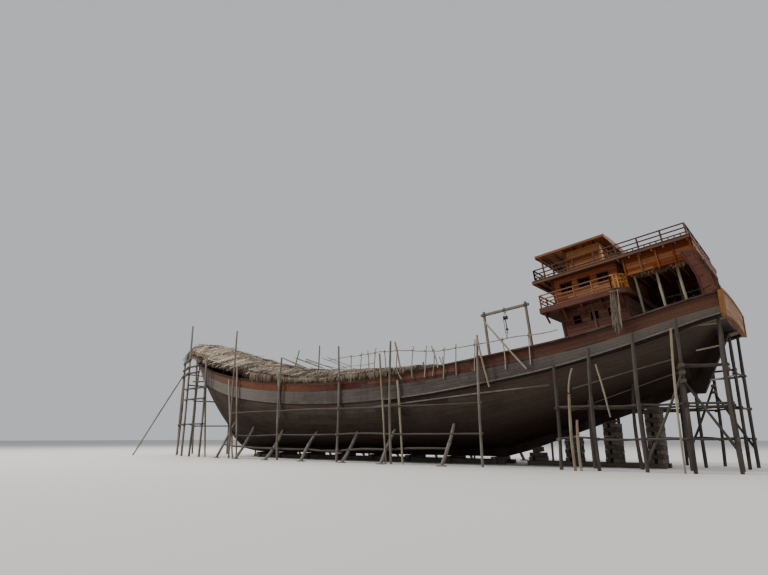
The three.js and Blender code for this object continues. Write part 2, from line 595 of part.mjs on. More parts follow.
// Palm-leaf awning over the fore and middle deck, an arched roof on light frames.
// Columns: x, half width, height of the edge, height of the ridge.
const awningRows = [
  [25.3, 1.3, 10.45, 11.45], [22.6, 2.0, 9.75, 11.3], [19.8, 3.35, 9.25, 10.95], [17.0, 4.2, 8.6, 9.95],
  [13.2, 4.85, 7.85, 8.95], [9.8, 5.1, 7.15, 8.0], [9.6, 5.1, 7.1, 7.95], [4.5, 5.15, 6.4, 7.45],
  [1.0, 5.15, 6.18, 7.42], [-3.5, 5.15, 6.2, 7.3], [-7.4, 5.05, 6.4, 7.2],
];
const thatchDepth = 0.24;
function awningShape(from, to, drop = 0) {
  return loft(
    awningRows.slice(from, to).map(([x, half, edge, ridge]) => {
      const over = (lift) => arc(half, edge, ridge, 8).map(([y, z]) => [x, y, z + lift - drop]);
      return [...over(0), ...over(-thatchDepth).reverse()];
    }),
  );
}
const awnings = [["awning_fore", 0, 6], ["awning_mid", 6, 11]];
for (const [name, from, to] of awnings) piece(name, awningShape(from, to), colour.thatch);
const overhead = join(awnings.map(
  ([, from, to]) => awningShape(from, to, gap).add(awningShape(from, to, -1)),
));
const deckUnder = deckShape(gap);
const awningPosts = [22.0, 19.0, 16.0, 13.0, 9.9, 6.4, 2.8, -0.8, -4.2, -7.1];
for (const [name, side] of sides) {
  const place = awningPosts.map((x) => [x, side * postPlace(x)]);
  const plate = (x, y) => awningUnder(x, y) - 0.34;
  const parts = place.map(([x, y]) =>
    pole([x, y, atRail("high", x) - 1.1], [x, y, awningUnder(x, y) + 0.15], 0.06, 5),
  );
  for (let i = 0; i + 1 < place.length; i++) {
    const [a, b] = [place[i], place[i + 1]];
    parts.push(pole([...a, plate(...a)], [...b, plate(...b)], 0.05, 4));
  }
  piece(`awning_frame_${name}`, join(parts).subtract(overhead).subtract(deckUnder), colour.pole);
}
// The posts stand well inside the bulwark, which closes in below the rail towards the bow.
function postPlace(x) {
  const rake = THREE.MathUtils.clamp((x - 14) / 8, 0, 1);
  return atRail("half", x + 0.9 * rake) - wallThickness - 0.42;
}
function awningUnder(x, y) {
  const next = awningRows.findIndex((row) => row[0] <= x);
  const [a, b] = [awningRows[next - 1], awningRows[next]];
  const share = (x - a[0]) / (b[0] - a[0]);
  const [half, edge, ridge] = [1, 2, 3].map((k) => lerp(a[k], b[k], share));
  return lerp(ridge, edge, (y / half) ** 2) - thatchDepth;
}

// Stick rail: thin sticks lashed outside the cap rail, with a bamboo along their heads.
// Columns: x, height of the bamboo above the cap rail.
const stickRows = [
  [-1.7, 1.55], [-2.6, 1.54], [-3.3, 1.54], [-3.9, 1.56], [-4.8, 1.53], [-5.8, 1.49], [-7.1, 1.28],
  [-8.1, 1.07], [-8.7, 0.97], [-9.5, 0.88], [-10.4, 0.84], [-11.7, 0.77], [-13.6, 0.7], [-15.2, 0.6],
];
const bambooHead = [0.6, 1.42];
for (const [name, side] of sides) {
  const place = ([x, lift]) => [
    x, side * (atRail("half", x) + capOverhang + 0.02), atRail("high", x) + lift,
  ];
  const places = stickRows.map(place);
  const parts = places.map(([x, y, z], i) =>
    pole([x, y, z - 2.0 + 0.1 * (i % 3)], [x, y, z + 0.12 + 0.08 * (i % 4)], 0.045, 4),
  );
  parts.push(pole(place(bambooHead), places[0], 0.04, 4));
  for (let i = 0; i + 1 < places.length; i++) parts.push(pole(places[i], places[i + 1], 0.04, 4));
  piece(`stick_rail_${name}`, join(parts).subtract(sideCut(side)), colour.pole);
}

// Slip under the keel: ground ways, cross blocks, and cribs under the rising keel.
const ground = box(-30, 30, -9, 9, -2, 0);
const blocks = [-10.5, -7, -3.5, 0, 3.5, 7, 10.5, 13.2];
const ways = [-0.75, 0.75].map((y) => box(-11.2, 14.0, y - 0.16, y + 0.16, 0, 0.26));
const crossings = blocks.map((x) => box(x - 0.22, x + 0.22, -1.1, 1.1, 0, floorToKeel - gap));
const cribs = [-13.2, -15.6, -18.0, -20.4];
const keelUnder = (x) => lerp(0.85, 4.2, (x + 12.5) / (-22.6 + 12.5));
const cribParts = [box(-20.9, -11.0, -0.7, -0.4, 0, 0.25), box(-20.9, -11.0, 0.4, 0.7, 0, 0.25)];
for (const x of cribs) {
  for (let z = 0.2; z < keelUnder(x) - 0.05; z += 1.0) {
    cribParts.push(box(x - 0.3, x + 0.3, -0.8, 0.8, z, z + 0.5));
    cribParts.push(box(x - 0.4, x + 0.4, -0.5, 0.5, z + 0.5, z + 1.0));
  }
  cribParts.push(box(x - 0.15, x + 0.15, -0.7, 0.7, keelUnder(x) - 0.35, keelUnder(x) + 0.2));
}
const keelCut = sided(
  [[-10.9, 0.45 - gap], [-12.5, 0.85 - gap], [-22.6, 4.2 - gap], [-22.6, 7], [-10.9, 7]], 2,
);
piece("slipway", join([...ways, ...crossings, ...cribParts]).subtract(keelCut), colour.block);

// Shores: raking poles from the ground to the bilge, tied by a ledger.
// Columns: x, y of the foot, height of the head.
const shoreRows = [
  [-9.5, 5.9, 3.4], [-4.9, 6.0, 3.0], [-1.5, 6.0, 2.8], [2.5, 6.0, 2.8], [6.5, 6.0, 2.9], [10.5, 5.7, 3.2],
  [14, 5.0, 3.8],
];
const shoreReach = 2.2;
for (const [name, side] of sides) {
  const clear = moved(hullShape(), new THREE.Matrix4().makeTranslation(0, side * gap, -gap));
  const parts = shoreRows.map(([x, y, z]) =>
    pole([x, side * (y + 0.07), -0.1], [x, side * (y - shoreReach), z], 0.11),
  );
  const lean = (share) => shoreRows.map(([x, y, z]) => [x, side * (y - shoreReach * share), z * share]);
  const tie = lean(0.3);
  for (let i = 0; i + 1 < tie.length; i++) parts.push(pole(tie[i], tie[i + 1], 0.07, 4));
  piece(`shores_${name}`, join(parts).subtract(clear).subtract(ground), colour.pole);
}

// Standards: tall scaffold poles beside the hull, with ledgers and short boards between them.
// Columns: x, height of the head.
const standardRows = [[-12.0, 7.8], [-5.4, 8.1], [-0.6, 8.2], [5.6, 7.9], [12.0, 10.85]];
const standardOff = 0.27;
for (const [name, side] of sides) {
  const places = standardRows.map(([x, z]) => [x, side * (atRail("half", x) + standardOff), z]);
  const parts = places.map(([x, y, z]) => pole([x, y, 0], [x, y, z], 0.08, 6));
  for (const level of [1.9, 3.7]) {
    for (let i = 0; i + 1 < places.length; i++) {
      const [[ax, ay], [bx, by]] = [places[i], places[i + 1]];
      parts.push(pole([ax, ay, level], [bx, by, level + 0.1], 0.055, 4));
    }
  }
  const chocks = places.map(([x, y]) => {
    const [inner, top] = [Math.abs(y) - standardOff + 0.02, atRail("high", x)];
    return box(x - 0.06, x + 0.06, side * inner, y, top - 0.09, top - 0.01);
  });
  piece(`standards_${name}`, join([...parts, ...chocks]).subtract(sideCut(side)), colour.pole);
}
// What a pole beside the ship must stay clear of: cap rail, wale and hull, a gap larger all round.
function sideCut(side) {
  const skin = strake(side, (s) => [
    [0.05, ledgeZ(s) - gap], [0.05, s.high + gap], [s.half + capOverhang + gap, s.high + gap],
    [s.half + capOverhang + gap, s.high - capThickness - gap], [s.half + gap, s.high - capThickness - gap],
    [s.half + gap, ledgeZ(s) - gap],
  ]);
  return skin.add(hullShape(gap, 0));
}

// Stern staging: posts up to the overhang, ledgers, boards and braces.
// Columns: x, y, height of the head.
const sternPosts = [
  [-16.6, 5.05, 5.6], [-18.6, 5.0, 6.4], [-20.9, 4.85, 7.0], [-23.0, 4.6, 7.6], [-24.8, 3.6, 8.2],
  [-17.6, 2.6, 5.0], [-20.0, 2.2, 6.0], [-22.4, 2.0, 7.2], [-24.6, 1.4, 8.2],
];
// Columns: the two posts that a ledger ties, its height.
const sternLedgers = [
  [0, 1, 1.6], [1, 2, 1.6], [2, 3, 1.6], [3, 4, 1.6], [0, 1, 3.3], [1, 2, 3.3], [2, 3, 3.3], [3, 4, 3.3],
  [5, 6, 3.3], [6, 7, 3.3], [7, 8, 3.3], [0, 5, 3.3], [2, 6, 3.3], [4, 8, 3.3],
  [3, 4, 5.2], [4, 8, 5.2], [7, 8, 5.4],
];
const underCut = sternCut();
for (const [name, side] of sides) {
  const at = (row, z) => [sternPosts[row][0], side * sternPosts[row][1], z];
  const parts = sternPosts.map(([x, y, z], row) => pole(at(row, 0), [x + 0.1, side * y, z], 0.1, 5));
  for (const [a, b, z] of sternLedgers) parts.push(pole(at(a, z), at(b, z + 0.08), 0.06, 4));
  parts.push(pole(at(2, 0.4), at(3, 4.8), 0.07, 4), pole(at(4, 1.0), at(3, 4.4), 0.07, 4));
  piece(`stern_staging_${name}`, join(parts).subtract(underCut), colour.darkPole);
}
function sternCut() {
  const [x0, x1] = [-25.17, -16];
  const works = loft(
    stations.slice(0, overhangEnd).map((s) => {
      const [z, y] = [ledgeZ(s) - ledgeDeep - 2 * gap, s.half + 0.052];
      return [[s.railX, -y, z], [s.railX, -y, 12], [s.railX, y, 12], [s.railX, y, z]];
    }),
  );
  const around = [
    [x1, 2.3], [-22.6, 4.2 - gap], [-22.6, 4.05 - gap], [-23.2, 4.05 - gap], [-24.85, 7.25],
    [x0, 7.7], [x1, 7.7],
  ];
  const timbers = sided(around, keelHalf + gap);
  return works.add(hullShape(gap, gap)).add(timbers).add(box(x0, -25, -4.2, 4.2, 7.5, 12));
}

// Bow staging: standards from abreast the fore deck round the stem, boards between them, a long
// brace out to the ground, and putlogs that run in to the hull.
// Columns: x, y, height of the head.
const bowPosts = [
  [17.0, 4.7, 9.0], [18.7, 4.6, 9.2], [20.2, 4.4, 12.4], [23.2, 3.0, 9.3], [26.4, 0.9, 9.4],
];
// Columns: the two posts that a board joins, its height.
const bowBoards = [
  [0, 1, 2.9], [1, 2, 2.9], [2, 3, 2.9], [3, 4, 2.9], [0, 1, 5.2], [1, 2, 5.2], [0, 1, 6.2], [1, 2, 6.2],
  [1, 2, 7.7], [2, 3, 7.7], [3, 4, 7.7], [1, 2, 8.3], [2, 3, 8.3], [2, 3, 9.0],
];
// Columns: the post that a putlog is lashed to, its height, y of its inner end.
const putlogs = [[2, 6.6, 0.6], [1, 5.0, 0.6], [3, 7.9, 0.5]];
const braceFoot = [26.2, 5.9, -0.05];
// The tall post stands on the port side alone.
const starboardHead = 9.6;
for (const [name, side] of sides) {
  const at = (row, z) => [bowPosts[row][0], side * bowPosts[row][1], z];
  const parts = bowPosts.map(([, , z], row) =>
    pole(at(row, 0), at(row, side > 0 ? z : Math.min(z, starboardHead)), 0.085, 5),
  );
  for (const [a, b, z] of bowBoards) parts.push(timber(at(a, z), at(b, z + 0.05), 0.24, 0.07));
  const [footX, footY, footZ] = braceFoot;
  parts.push(pole([footX, side * footY, footZ], at(3, 7.9), 0.07, 4));
  for (const [row, z, reach] of putlogs) {
    parts.push(pole(at(row, z), [bowPosts[row][0], side * reach, z], 0.06, 4));
  }
  piece(`bow_staging_${name}`, join(parts).subtract(sideCut(side)).subtract(ground), colour.darkPole);
}

export default ship;
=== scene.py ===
import math
import random

import bmesh
import bpy
import numpy as np
from mathutils import Matrix, Vector
from mathutils import noise as fieldNoise
from mathutils.bvhtree import BVHTree


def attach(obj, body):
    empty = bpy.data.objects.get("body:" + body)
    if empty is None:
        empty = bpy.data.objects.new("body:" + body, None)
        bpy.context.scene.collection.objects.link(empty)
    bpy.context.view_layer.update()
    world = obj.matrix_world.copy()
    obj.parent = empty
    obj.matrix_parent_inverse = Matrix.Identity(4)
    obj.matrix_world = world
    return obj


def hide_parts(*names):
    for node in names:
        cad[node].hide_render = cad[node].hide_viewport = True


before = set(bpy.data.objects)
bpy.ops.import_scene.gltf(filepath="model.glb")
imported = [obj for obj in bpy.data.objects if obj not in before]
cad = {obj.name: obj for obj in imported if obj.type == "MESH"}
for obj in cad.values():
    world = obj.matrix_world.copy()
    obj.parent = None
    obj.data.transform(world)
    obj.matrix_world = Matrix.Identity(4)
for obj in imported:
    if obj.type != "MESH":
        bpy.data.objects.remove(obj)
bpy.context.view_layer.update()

scale = 0.5  # model metres for each metre of the ship; sizes below are the ship's
dice = random.Random(11)
sides = [("port", 1), ("starboard", -1)]
xAxis, yAxis, zAxis = (1, 0, 0), (0, 1, 0), (0, 0, 1)


# camera, floor and light

view = {
    "place": (-14.285, 17.96, 0.825),
    "heading": 52.0,  # to the right of +X, in degrees
    "up": 15.04,
    "lens": 26.25,
    "sensor": 36.0,
    "end": 1000.0,
}


def aim(piece, way):
    piece.rotation_euler = way.to_track_quat("-Z", "Y").to_euler()


def setCamera():
    bpy.ops.object.camera_add(location=view["place"])
    camera = bpy.context.object
    camera.data.lens, camera.data.sensor_width = view["lens"], view["sensor"]
    camera.data.clip_end = view["end"]
    turn, rise = math.radians(view["heading"]), math.radians(view["up"])
    aim(camera, Vector((math.cos(turn) * math.cos(rise), -math.sin(turn) * math.cos(rise), math.sin(rise))))
    bpy.context.scene.camera = camera


stageLook = {
    "floor": 400.0, "floorZ": -0.004, "paper": (0.56, 0.55, 0.53, 1), "rough": 0.9,
    "sky": (0.88, 0.91, 0.96, 1), "skyPower": 0.62, "lit": (0, 0, 2),
}
lamps = [  # place, size, power, colour
    ((22, 23, 34), 9.0, 20000.0, (1.0, 0.955, 0.88)),
    ((-34, 3, 30), 13.0, 4000.0, (1.0, 0.955, 0.88)),
    ((-22, -26, 24), 18.0, 3200.0, (0.93, 0.96, 1.0)),
    ((28, -12, 28), 18.0, 6500.0, (1.0, 0.97, 0.93)),
]


def setStage():
    bpy.ops.mesh.primitive_plane_add(size=stageLook["floor"], location=(0, 0, stageLook["floorZ"]))
    floor = bpy.context.object
    floor.name = "floor"
    paper = bpy.data.materials.new("paleFloor")
    paper.use_nodes = True
    shader = paper.node_tree.nodes["Principled BSDF"]
    shader.inputs["Base Color"].default_value = stageLook["paper"]
    shader.inputs["Roughness"].default_value = stageLook["rough"]
    floor.data.materials.append(paper)
    world = bpy.context.scene.world or bpy.data.worlds.new("sky")
    bpy.context.scene.world = world
    world.use_nodes = True
    world.node_tree.nodes["Background"].inputs["Color"].default_value = stageLook["sky"]
    world.node_tree.nodes["Background"].inputs["Strength"].default_value = stageLook["skyPower"]
    for place, size, power, tint in lamps:
        bpy.ops.object.light_add(type="AREA", location=place)
        lamp = bpy.context.object
        lamp.data.size, lamp.data.energy, lamp.data.color = size, power, tint
        aim(lamp, Vector(stageLook["lit"]) - Vector(place))


setCamera()
setStage()
print("camera and stage set")


# shader groups that the finishes share


def feed(tree, node, sources):  # each socket gets a link or a plain value
    for socket, source in sources.items():
        if hasattr(source, "is_output"):
            tree.links.new(source, node.inputs[socket])
        else:
            node.inputs[socket].default_value = source


def addNode(tree, kind, sources=None, **settings):
    node = tree.nodes.new(kind)
    for key, value in settings.items():
        setattr(node, key, value)
    feed(tree, node, sources or {})
    return node


# inputs: a vector has no value, a float has a number, a colour has four
def newGroup(name, inputs, outputs):
    group = bpy.data.node_groups.new(name, "ShaderNodeTree")
    for label, value in inputs.items():
        kind = "Vector" if value is None else "Float" if isinstance(value, float) else "Color"
        socket = group.interface.new_socket(name=label, in_out="INPUT", socket_type=f"NodeSocket{kind}")
        if value is not None:
            socket.default_value = value
    for label in outputs:
        kind = "Color" if label == "Colour" else "Float"
        group.interface.new_socket(name=label, in_out="OUTPUT", socket_type=f"NodeSocket{kind}")
    return group, group.nodes.new("NodeGroupInput").outputs, group.nodes.new("NodeGroupOutput")


def math2(tree, operation, a, b=0.0):
    return addNode(tree, "ShaderNodeMath", {0: a, 1: b}, operation=operation).outputs[0]


def times(tree, a, b):
    return math2(tree, "MULTIPLY", a, b)


def plus(tree, a, b):
    return math2(tree, "ADD", a, b)


def mixColour(tree, share, a, b):
    return addNode(tree, "ShaderNodeMix", {0: share, 6: a, 7: b}, data_type="RGBA").outputs[2]


def spread(tree, value, low, high, toLow=0.0, toHigh=1.0):
    sources = {"Value": value, "From Min": low, "From Max": high, "To Min": toLow, "To Max": toHigh}
    return addNode(tree, "ShaderNodeMapRange", sources).outputs[0]


def noise(tree, place, size, detail=4.0, rough=0.55):
    sources = {"Vector": place, "Scale": size, "Detail": detail, "Roughness": rough}
    return addNode(tree, "ShaderNodeTexNoise", sources).outputs["Fac"]


def stretched(tree, place, factors):
    return addNode(tree, "ShaderNodeVectorMath", {0: place, 1: factors}, operation="MULTIPLY").outputs[0]


# sawn or round timber: grain runs along the first coordinate, in metres of the ship
def makeTimberGroup():
    group, given, out = newGroup(
        "timberGrain",
        {"Along": None, "Tone": 0.5, "Fresh": (0.5, 0.3, 0.15, 1), "Dark": (0.1, 0.07, 0.05, 1),
         "Grey": (0.3, 0.28, 0.26, 1), "Weather": 0.3},
        ["Colour", "Roughness", "Height"],
    )
    place, tone = given["Along"], given["Tone"]
    fibre = noise(group, stretched(group, place, (1.2, 42.0, 42.0)), 1.0, 5.0, 0.65)
    rings = noise(group, stretched(group, place, (0.35, 9.0, 9.0)), 1.0, 3.0, 0.6)
    patch = noise(group, place, 0.55, 3.0, 0.6)
    speck = noise(group, place, 16.0, 2.0, 0.5)
    grain = plus(group, times(group, fibre, 0.55), times(group, rings, 0.45))
    toned = addNode(group, "ShaderNodeHueSaturation", {
        "Hue": spread(group, tone, 0.0, 1.0, 0.487, 0.512),
        "Saturation": spread(group, tone, 1.0, 0.0, 0.86, 1.12),
        "Value": spread(group, tone, 0.0, 1.0, 0.66, 1.3),
        "Color": mixColour(group, spread(group, grain, 0.36, 0.64), given["Dark"], given["Fresh"]),
    }).outputs[0]
    reach = plus(group, patch, times(group, given["Weather"], 0.6))
    silver = times(group, spread(group, reach, 0.62, 0.95), spread(group, fibre, 0.3, 0.7, 0.55, 1.0))
    colour = mixColour(group, silver, toned, given["Grey"])
    feed(group, out, {
        "Colour": mixColour(group, spread(group, speck, 0.62, 0.74, 0.0, 0.3), colour, given["Dark"]),
        "Roughness": spread(group, plus(group, grain, silver), 0.3, 1.5, 0.58, 0.92),
        "Height": plus(group, fibre, times(group, rings, 0.6)),
    })
    return group


# dirt and rain marks: darker in blotches and in vertical runs, on model metres
def makeGrimeGroup():
    group, given, out = newGroup(
        "rainAndDirt",
        {"Colour": (0.5, 0.5, 0.5, 1), "Place": None, "Dirt": (0.05, 0.04, 0.035, 1), "Amount": 0.5},
        ["Colour"],
    )
    runs = noise(group, stretched(group, given["Place"], (3.2, 3.2, 0.35)), 1.6, 5.0, 0.65)
    blotch = noise(group, given["Place"], 0.9, 4.0, 0.6)
    both = times(group, spread(group, runs, 0.42, 0.68), spread(group, blotch, 0.3, 0.62, 0.25, 1.0))
    mask = times(group, both, given["Amount"])
    feed(group, out, {"Colour": mixColour(group, mask, given["Colour"], given["Dirt"])})
    return group


# round wooden pegs in rows along a strake, at every frame
def makePegGroup():
    group, given, out = newGroup("framePegs", {"Along": None, "Spacing": 0.55, "Row": 0.3}, ["Mask"])
    parts = addNode(group, "ShaderNodeSeparateXYZ", {0: given["Along"]}).outputs
    squares = [
        math2(group, "POWER", math2(group, "PINGPONG", part, times(group, given[label], 0.5)), 2.0)
        for part, label in zip(parts, ("Spacing", "Row"))
    ]
    distance = math2(group, "SQRT", plus(group, *squares))
    feed(group, out, {"Mask": spread(group, distance, 0.022, 0.030, 1.0, 0.0)})
    return group


groups = {"timber": makeTimberGroup(), "grime": makeGrimeGroup(), "pegs": makePegGroup()}


def addGroup(tree, name, sources):
    return addNode(tree, "ShaderNodeGroup", sources, node_tree=groups[name]).outputs


# timber finishes: fresh, dark and grey wood, then how weathered, how dirty, and bump
timberLooks = {
    "hullPlanks": ((0.055, 0.03, 0.0195), (0.014, 0.009, 0.0065), (0.062, 0.05, 0.042), 0.45, 0.5, 0.5),
    "waleTimber": ((0.066, 0.046, 0.037), (0.02, 0.015, 0.0125), (0.094, 0.082, 0.076), 0.65, 0.7, 0.6),
    "ledgeTimber": ((0.12, 0.09, 0.071), (0.042, 0.033, 0.027), (0.16, 0.146, 0.134), 0.6, 0.25, 0.4),
    "bulwarkPlanks": ((0.13, 0.044, 0.027), (0.033, 0.0145, 0.0105), (0.078, 0.052, 0.04), 0.2, 0.5, 0.5),
    "capTimber": ((0.085, 0.046, 0.029), (0.024, 0.014, 0.011), (0.115, 0.096, 0.083), 0.45, 0.3, 0.45),
    # near black, painted shade for the keel, stem and post, the CAD hull in gaps and the strips along the wale
    "keelTimber": ((0.026, 0.015, 0.0105), (0.007, 0.0046, 0.0037), (0.032, 0.026, 0.022), 0.35, 0.5, 0.6),
    "transomPlanks": ((0.27, 0.118, 0.026), (0.135, 0.05, 0.012), (0.16, 0.098, 0.045), 0.08, 0.14, 0.35),
    "deckPlanks": ((0.24, 0.14, 0.072), (0.085, 0.048, 0.027), (0.17, 0.148, 0.124), 0.45, 0.35, 0.4),
    "cabinPlanks": ((0.13, 0.034, 0.0145), (0.034, 0.0115, 0.0075), (0.07, 0.038, 0.028), 0.12, 0.3, 0.4),
    # lit and shaded copies of one orange plank: saloon and screen painted shade, wheelhouse painted light
    "shadedSaloonPlanks": ((0.33, 0.094, 0.019), (0.105, 0.03, 0.0095), (0.15, 0.077, 0.04), 0.08, 0.22, 0.4),
    "litWheelhousePlanks": ((0.38, 0.13, 0.027), (0.13, 0.043, 0.012), (0.18, 0.095, 0.04), 0.06, 0.2, 0.4),
    "creamPlanks": ((0.8, 0.48, 0.25), (0.46, 0.25, 0.12), (0.56, 0.38, 0.23), 0.05, 0.15, 0.3),
    "shadedScreenPlanks": ((0.22, 0.062, 0.0135), (0.066, 0.02, 0.0068), (0.1, 0.05, 0.026), 0.08, 0.25, 0.4),
    "railWood": ((0.26, 0.092, 0.02), (0.1, 0.036, 0.011), (0.14, 0.078, 0.035), 0.05, 0.15, 0.3),
    "paleWood": ((0.47, 0.205, 0.036), (0.22, 0.085, 0.018), (0.27, 0.175, 0.08), 0.05, 0.12, 0.3),
    "darkRailWood": ((0.095, 0.032, 0.016), (0.03, 0.012, 0.0085), (0.08, 0.044, 0.032), 0.1, 0.2, 0.3),
    "roofBoards": ((0.27, 0.1, 0.031), (0.1, 0.038, 0.014), (0.17, 0.105, 0.06), 0.2, 0.2, 0.35),
    "doorWood": ((0.17, 0.06, 0.022), (0.055, 0.021, 0.01), (0.12, 0.078, 0.053), 0.1, 0.2, 0.4),
    "poleWood": ((0.15, 0.108, 0.075), (0.045, 0.034, 0.026), (0.2, 0.182, 0.158), 0.6, 0.35, 0.8),
    "palePoleWood": ((0.3, 0.215, 0.118), (0.12, 0.082, 0.046), (0.3, 0.272, 0.228), 0.5, 0.2, 0.7),
    # a darker copy of the pole wood: painted shade on poles and boards under the hull
    "shadedPoleWood": ((0.062, 0.044, 0.031), (0.018, 0.014, 0.0115), (0.085, 0.073, 0.062), 0.5, 0.4, 0.8),
    "blockTimber": ((0.105, 0.067, 0.04), (0.03, 0.0205, 0.0145), (0.115, 0.1, 0.083), 0.5, 0.5, 0.7),
}
# pegs: spacing; shine: specular level; fades, along the model, and shadeBelow, up the skin: where another colour
# starts, where it is strongest, its share, and the colour itself; shadeBelow is painted shade, some fades paint
# light and shade
timberExtras = {
    "hullPlanks": dict(
        pegs=0.55, shine=0.1, fades=[(-4.5, -8.5, 0.6, (0.1, 0.07, 0.053, 1))],
        # shadeBelow: painted shade, the skin darker from under the ledge down towards the keel
        shadeBelow=(7.6, 3.6, 0.9, (0.0115, 0.006, 0.0038, 1))),
    "waleTimber": dict(
        pegs=0.55, shine=0.12,
        # the first fade, paler towards the bow, is painted light
        fades=[(1.5, 5.0, 0.75, (0.13, 0.117, 0.108, 1)), (-7.6, -9.8, 0.75, (0.12, 0.097, 0.084, 1))]),
    "bulwarkPlanks": dict(
        pegs=0.55, shine=0.12,
        fades=[(0.0, 1.6, 0.75, (0.112, 0.042, 0.021, 1)), (5.4, 8.2, 0.85, (0.085, 0.057, 0.05, 1)),
               # the fade from -5.6 aft, darker, is painted shade
               (-5.6, -7.6, 0.6, (0.055, 0.024, 0.015, 1)), (-10.3, -11.6, 0.5, (0.11, 0.05, 0.03, 1))]),
    # the cap rail darker forward of -3.4, under the awnings: painted shade of the leaves
    "capTimber": dict(shine=0.12, fades=[(-4.6, -3.4, 0.85, (0.032, 0.019, 0.014, 1))]),
    "keelTimber": dict(shine=0.1),
    "litWheelhousePlanks": dict(shine=0.1),
    "shadedScreenPlanks": dict(shine=0.1),
}


def newMaterial(name):
    material = bpy.data.materials.new(name)
    material.use_nodes = True
    return material, material.node_tree, addNode(material.node_tree, "ShaderNodeTexCoord").outputs


def toneOf(tree):  # each board, pole and leaf has a tone of its own
    return addNode(tree, "ShaderNodeAttribute", attribute_name="tone").outputs["Fac"]


def wireUp(material, colour, roughness, height, bump, depth, plain):
    tree = material.node_tree
    relief = addNode(tree, "ShaderNodeBump", {"Strength": bump, "Distance": depth, "Height": height})
    surface = {"Base Color": colour, "Roughness": roughness, "Normal": relief.outputs[0], **plain}
    feed(tree, tree.nodes["Principled BSDF"], surface)
    return material


# new pieces carry grain and tone; a CAD node has neither: its grain is turned about Y, in degrees, along x
def makeTimber(
    name, fresh, dark, grey, weather, dirt, bump, pegs=0.0, shine=0.3, fades=(), shadeBelow=None, turn=None
):
    material, tree, place = newMaterial(name)
    wood = {"Fresh": (*fresh, 1), "Dark": (*dark, 1), "Grey": (*grey, 1), "Weather": weather}
    if turn is None:
        wood.update({"Along": place["UV"], "Tone": toneOf(tree)})
    else:
        turned = {"Vector": place["Object"], "Rotation": (0, math.radians(turn), 0), "Scale": (1 / scale,) * 3}
        wood["Along"] = addNode(tree, "ShaderNodeMapping", turned).outputs[0]
    timber = addGroup(tree, "timber", wood)
    height = timber["Height"]
    dirty = {"Colour": timber["Colour"], "Place": place["Object"], "Amount": dirt}
    colour = addGroup(tree, "grime", dirty)["Colour"]
    # fades along x and shadeBelow up the skin mix in other colours: shadeBelow and some fades are painted light
    # and shade
    changes = [("Object", 0, change) for change in fades] + ([("UV", 1, shadeBelow)] if shadeBelow else [])
    for socket, axis, (start, end, strongest, other) in changes:
        reach = addNode(tree, "ShaderNodeSeparateXYZ", {0: place[socket]}).outputs[axis]
        streaks = spread(tree, timber["Height"], 0.5, 1.1, 0.75, 1.15)
        share = times(tree, spread(tree, reach, start, end, 0.0, strongest), streaks)
        colour = mixColour(tree, share, colour, other)
    if pegs:
        peg = addGroup(tree, "pegs", {"Along": place["UV"], "Spacing": pegs})["Mask"]
        colour = mixColour(tree, times(tree, peg, 0.6), colour, (*dark, 1))
        height = math2(tree, "SUBTRACT", height, peg)
    return wireUp(material, colour, timber["Roughness"], height, bump, 0.006, {"Specular IOR Level": shine})


looks = {name: makeTimber(name, *row, **timberExtras.get(name, {})) for name, row in timberLooks.items()}


# dry palm leaf, each leaf a little browner or paler than the next: pale, brown and grey
thatchLooks = {
    "thatch": ((0.68, 0.59, 0.45, 1), (0.085, 0.052, 0.033, 1), (0.46, 0.42, 0.36, 1)),
    # a darker, browner copy for leaves inside the aft bay: partly their own colour, partly painted shade
    "shadedBrownThatch": ((0.3, 0.16, 0.075, 1), (0.06, 0.031, 0.018, 1), (0.17, 0.115, 0.078, 1)),
}


def makeThatch(name, pale, brown, grey):
    material, tree, place = newMaterial(name)
    tone = toneOf(tree)
    blades = noise(tree, stretched(tree, place["UV"], (1.0, 60.0, 60.0)), 1.0, 3.0)
    patch = noise(tree, place["Object"], 1.1, 4.0)
    colour = mixColour(tree, spread(tree, tone, 0.0, 1.0), brown, pale)
    # brown leaves are the younger ones and have greyed less
    greyed = times(tree, spread(tree, patch, 0.38, 0.62, 0.0, 0.55), spread(tree, tone, 0.0, 0.5, 0.35, 1.0))
    aged = mixColour(tree, greyed, colour, grey)
    fibred = mixColour(tree, spread(tree, blades, 0.4, 0.62, 0.45, 0.0), aged, brown)
    roughness = spread(tree, blades, 0.3, 0.7, 0.7, 0.95)
    return wireUp(material, fibred, roughness, blades, 0.6, 0.004, {"Specular IOR Level": 0.25})


# old rope and black iron: pale, dark, size of the mottle, roughness, metallic
mottledLooks = {
    "rope": ("oldRope", (0.2, 0.165, 0.12, 1), (0.075, 0.06, 0.043, 1), 60.0, (0.8, 0.97), 0.0),
    "iron": ("blackIron", (0.055, 0.05, 0.047, 1), (0.018, 0.016, 0.016, 1), 24.0, (0.45, 0.75), 0.6),
}


def makeMottled(name, pale, dark, size, roughness, metallic):
    material, tree, place = newMaterial(name)
    mottle = noise(tree, place["Object"], size, 5.0, 0.65)
    colour = mixColour(tree, spread(tree, mottle, 0.35, 0.65), dark, pale)
    rough = spread(tree, mottle, 0.3, 0.7, *roughness)
    return wireUp(material, colour, rough, mottle, 0.5, 0.003, {"Metallic": metallic})


looks.update({name: makeThatch(name, *row) for name, row in thatchLooks.items()})
looks.update({name: makeMottled(*row) for name, row in mottledLooks.items()})
print("finishes ready:", len(looks))


# the ship's lines


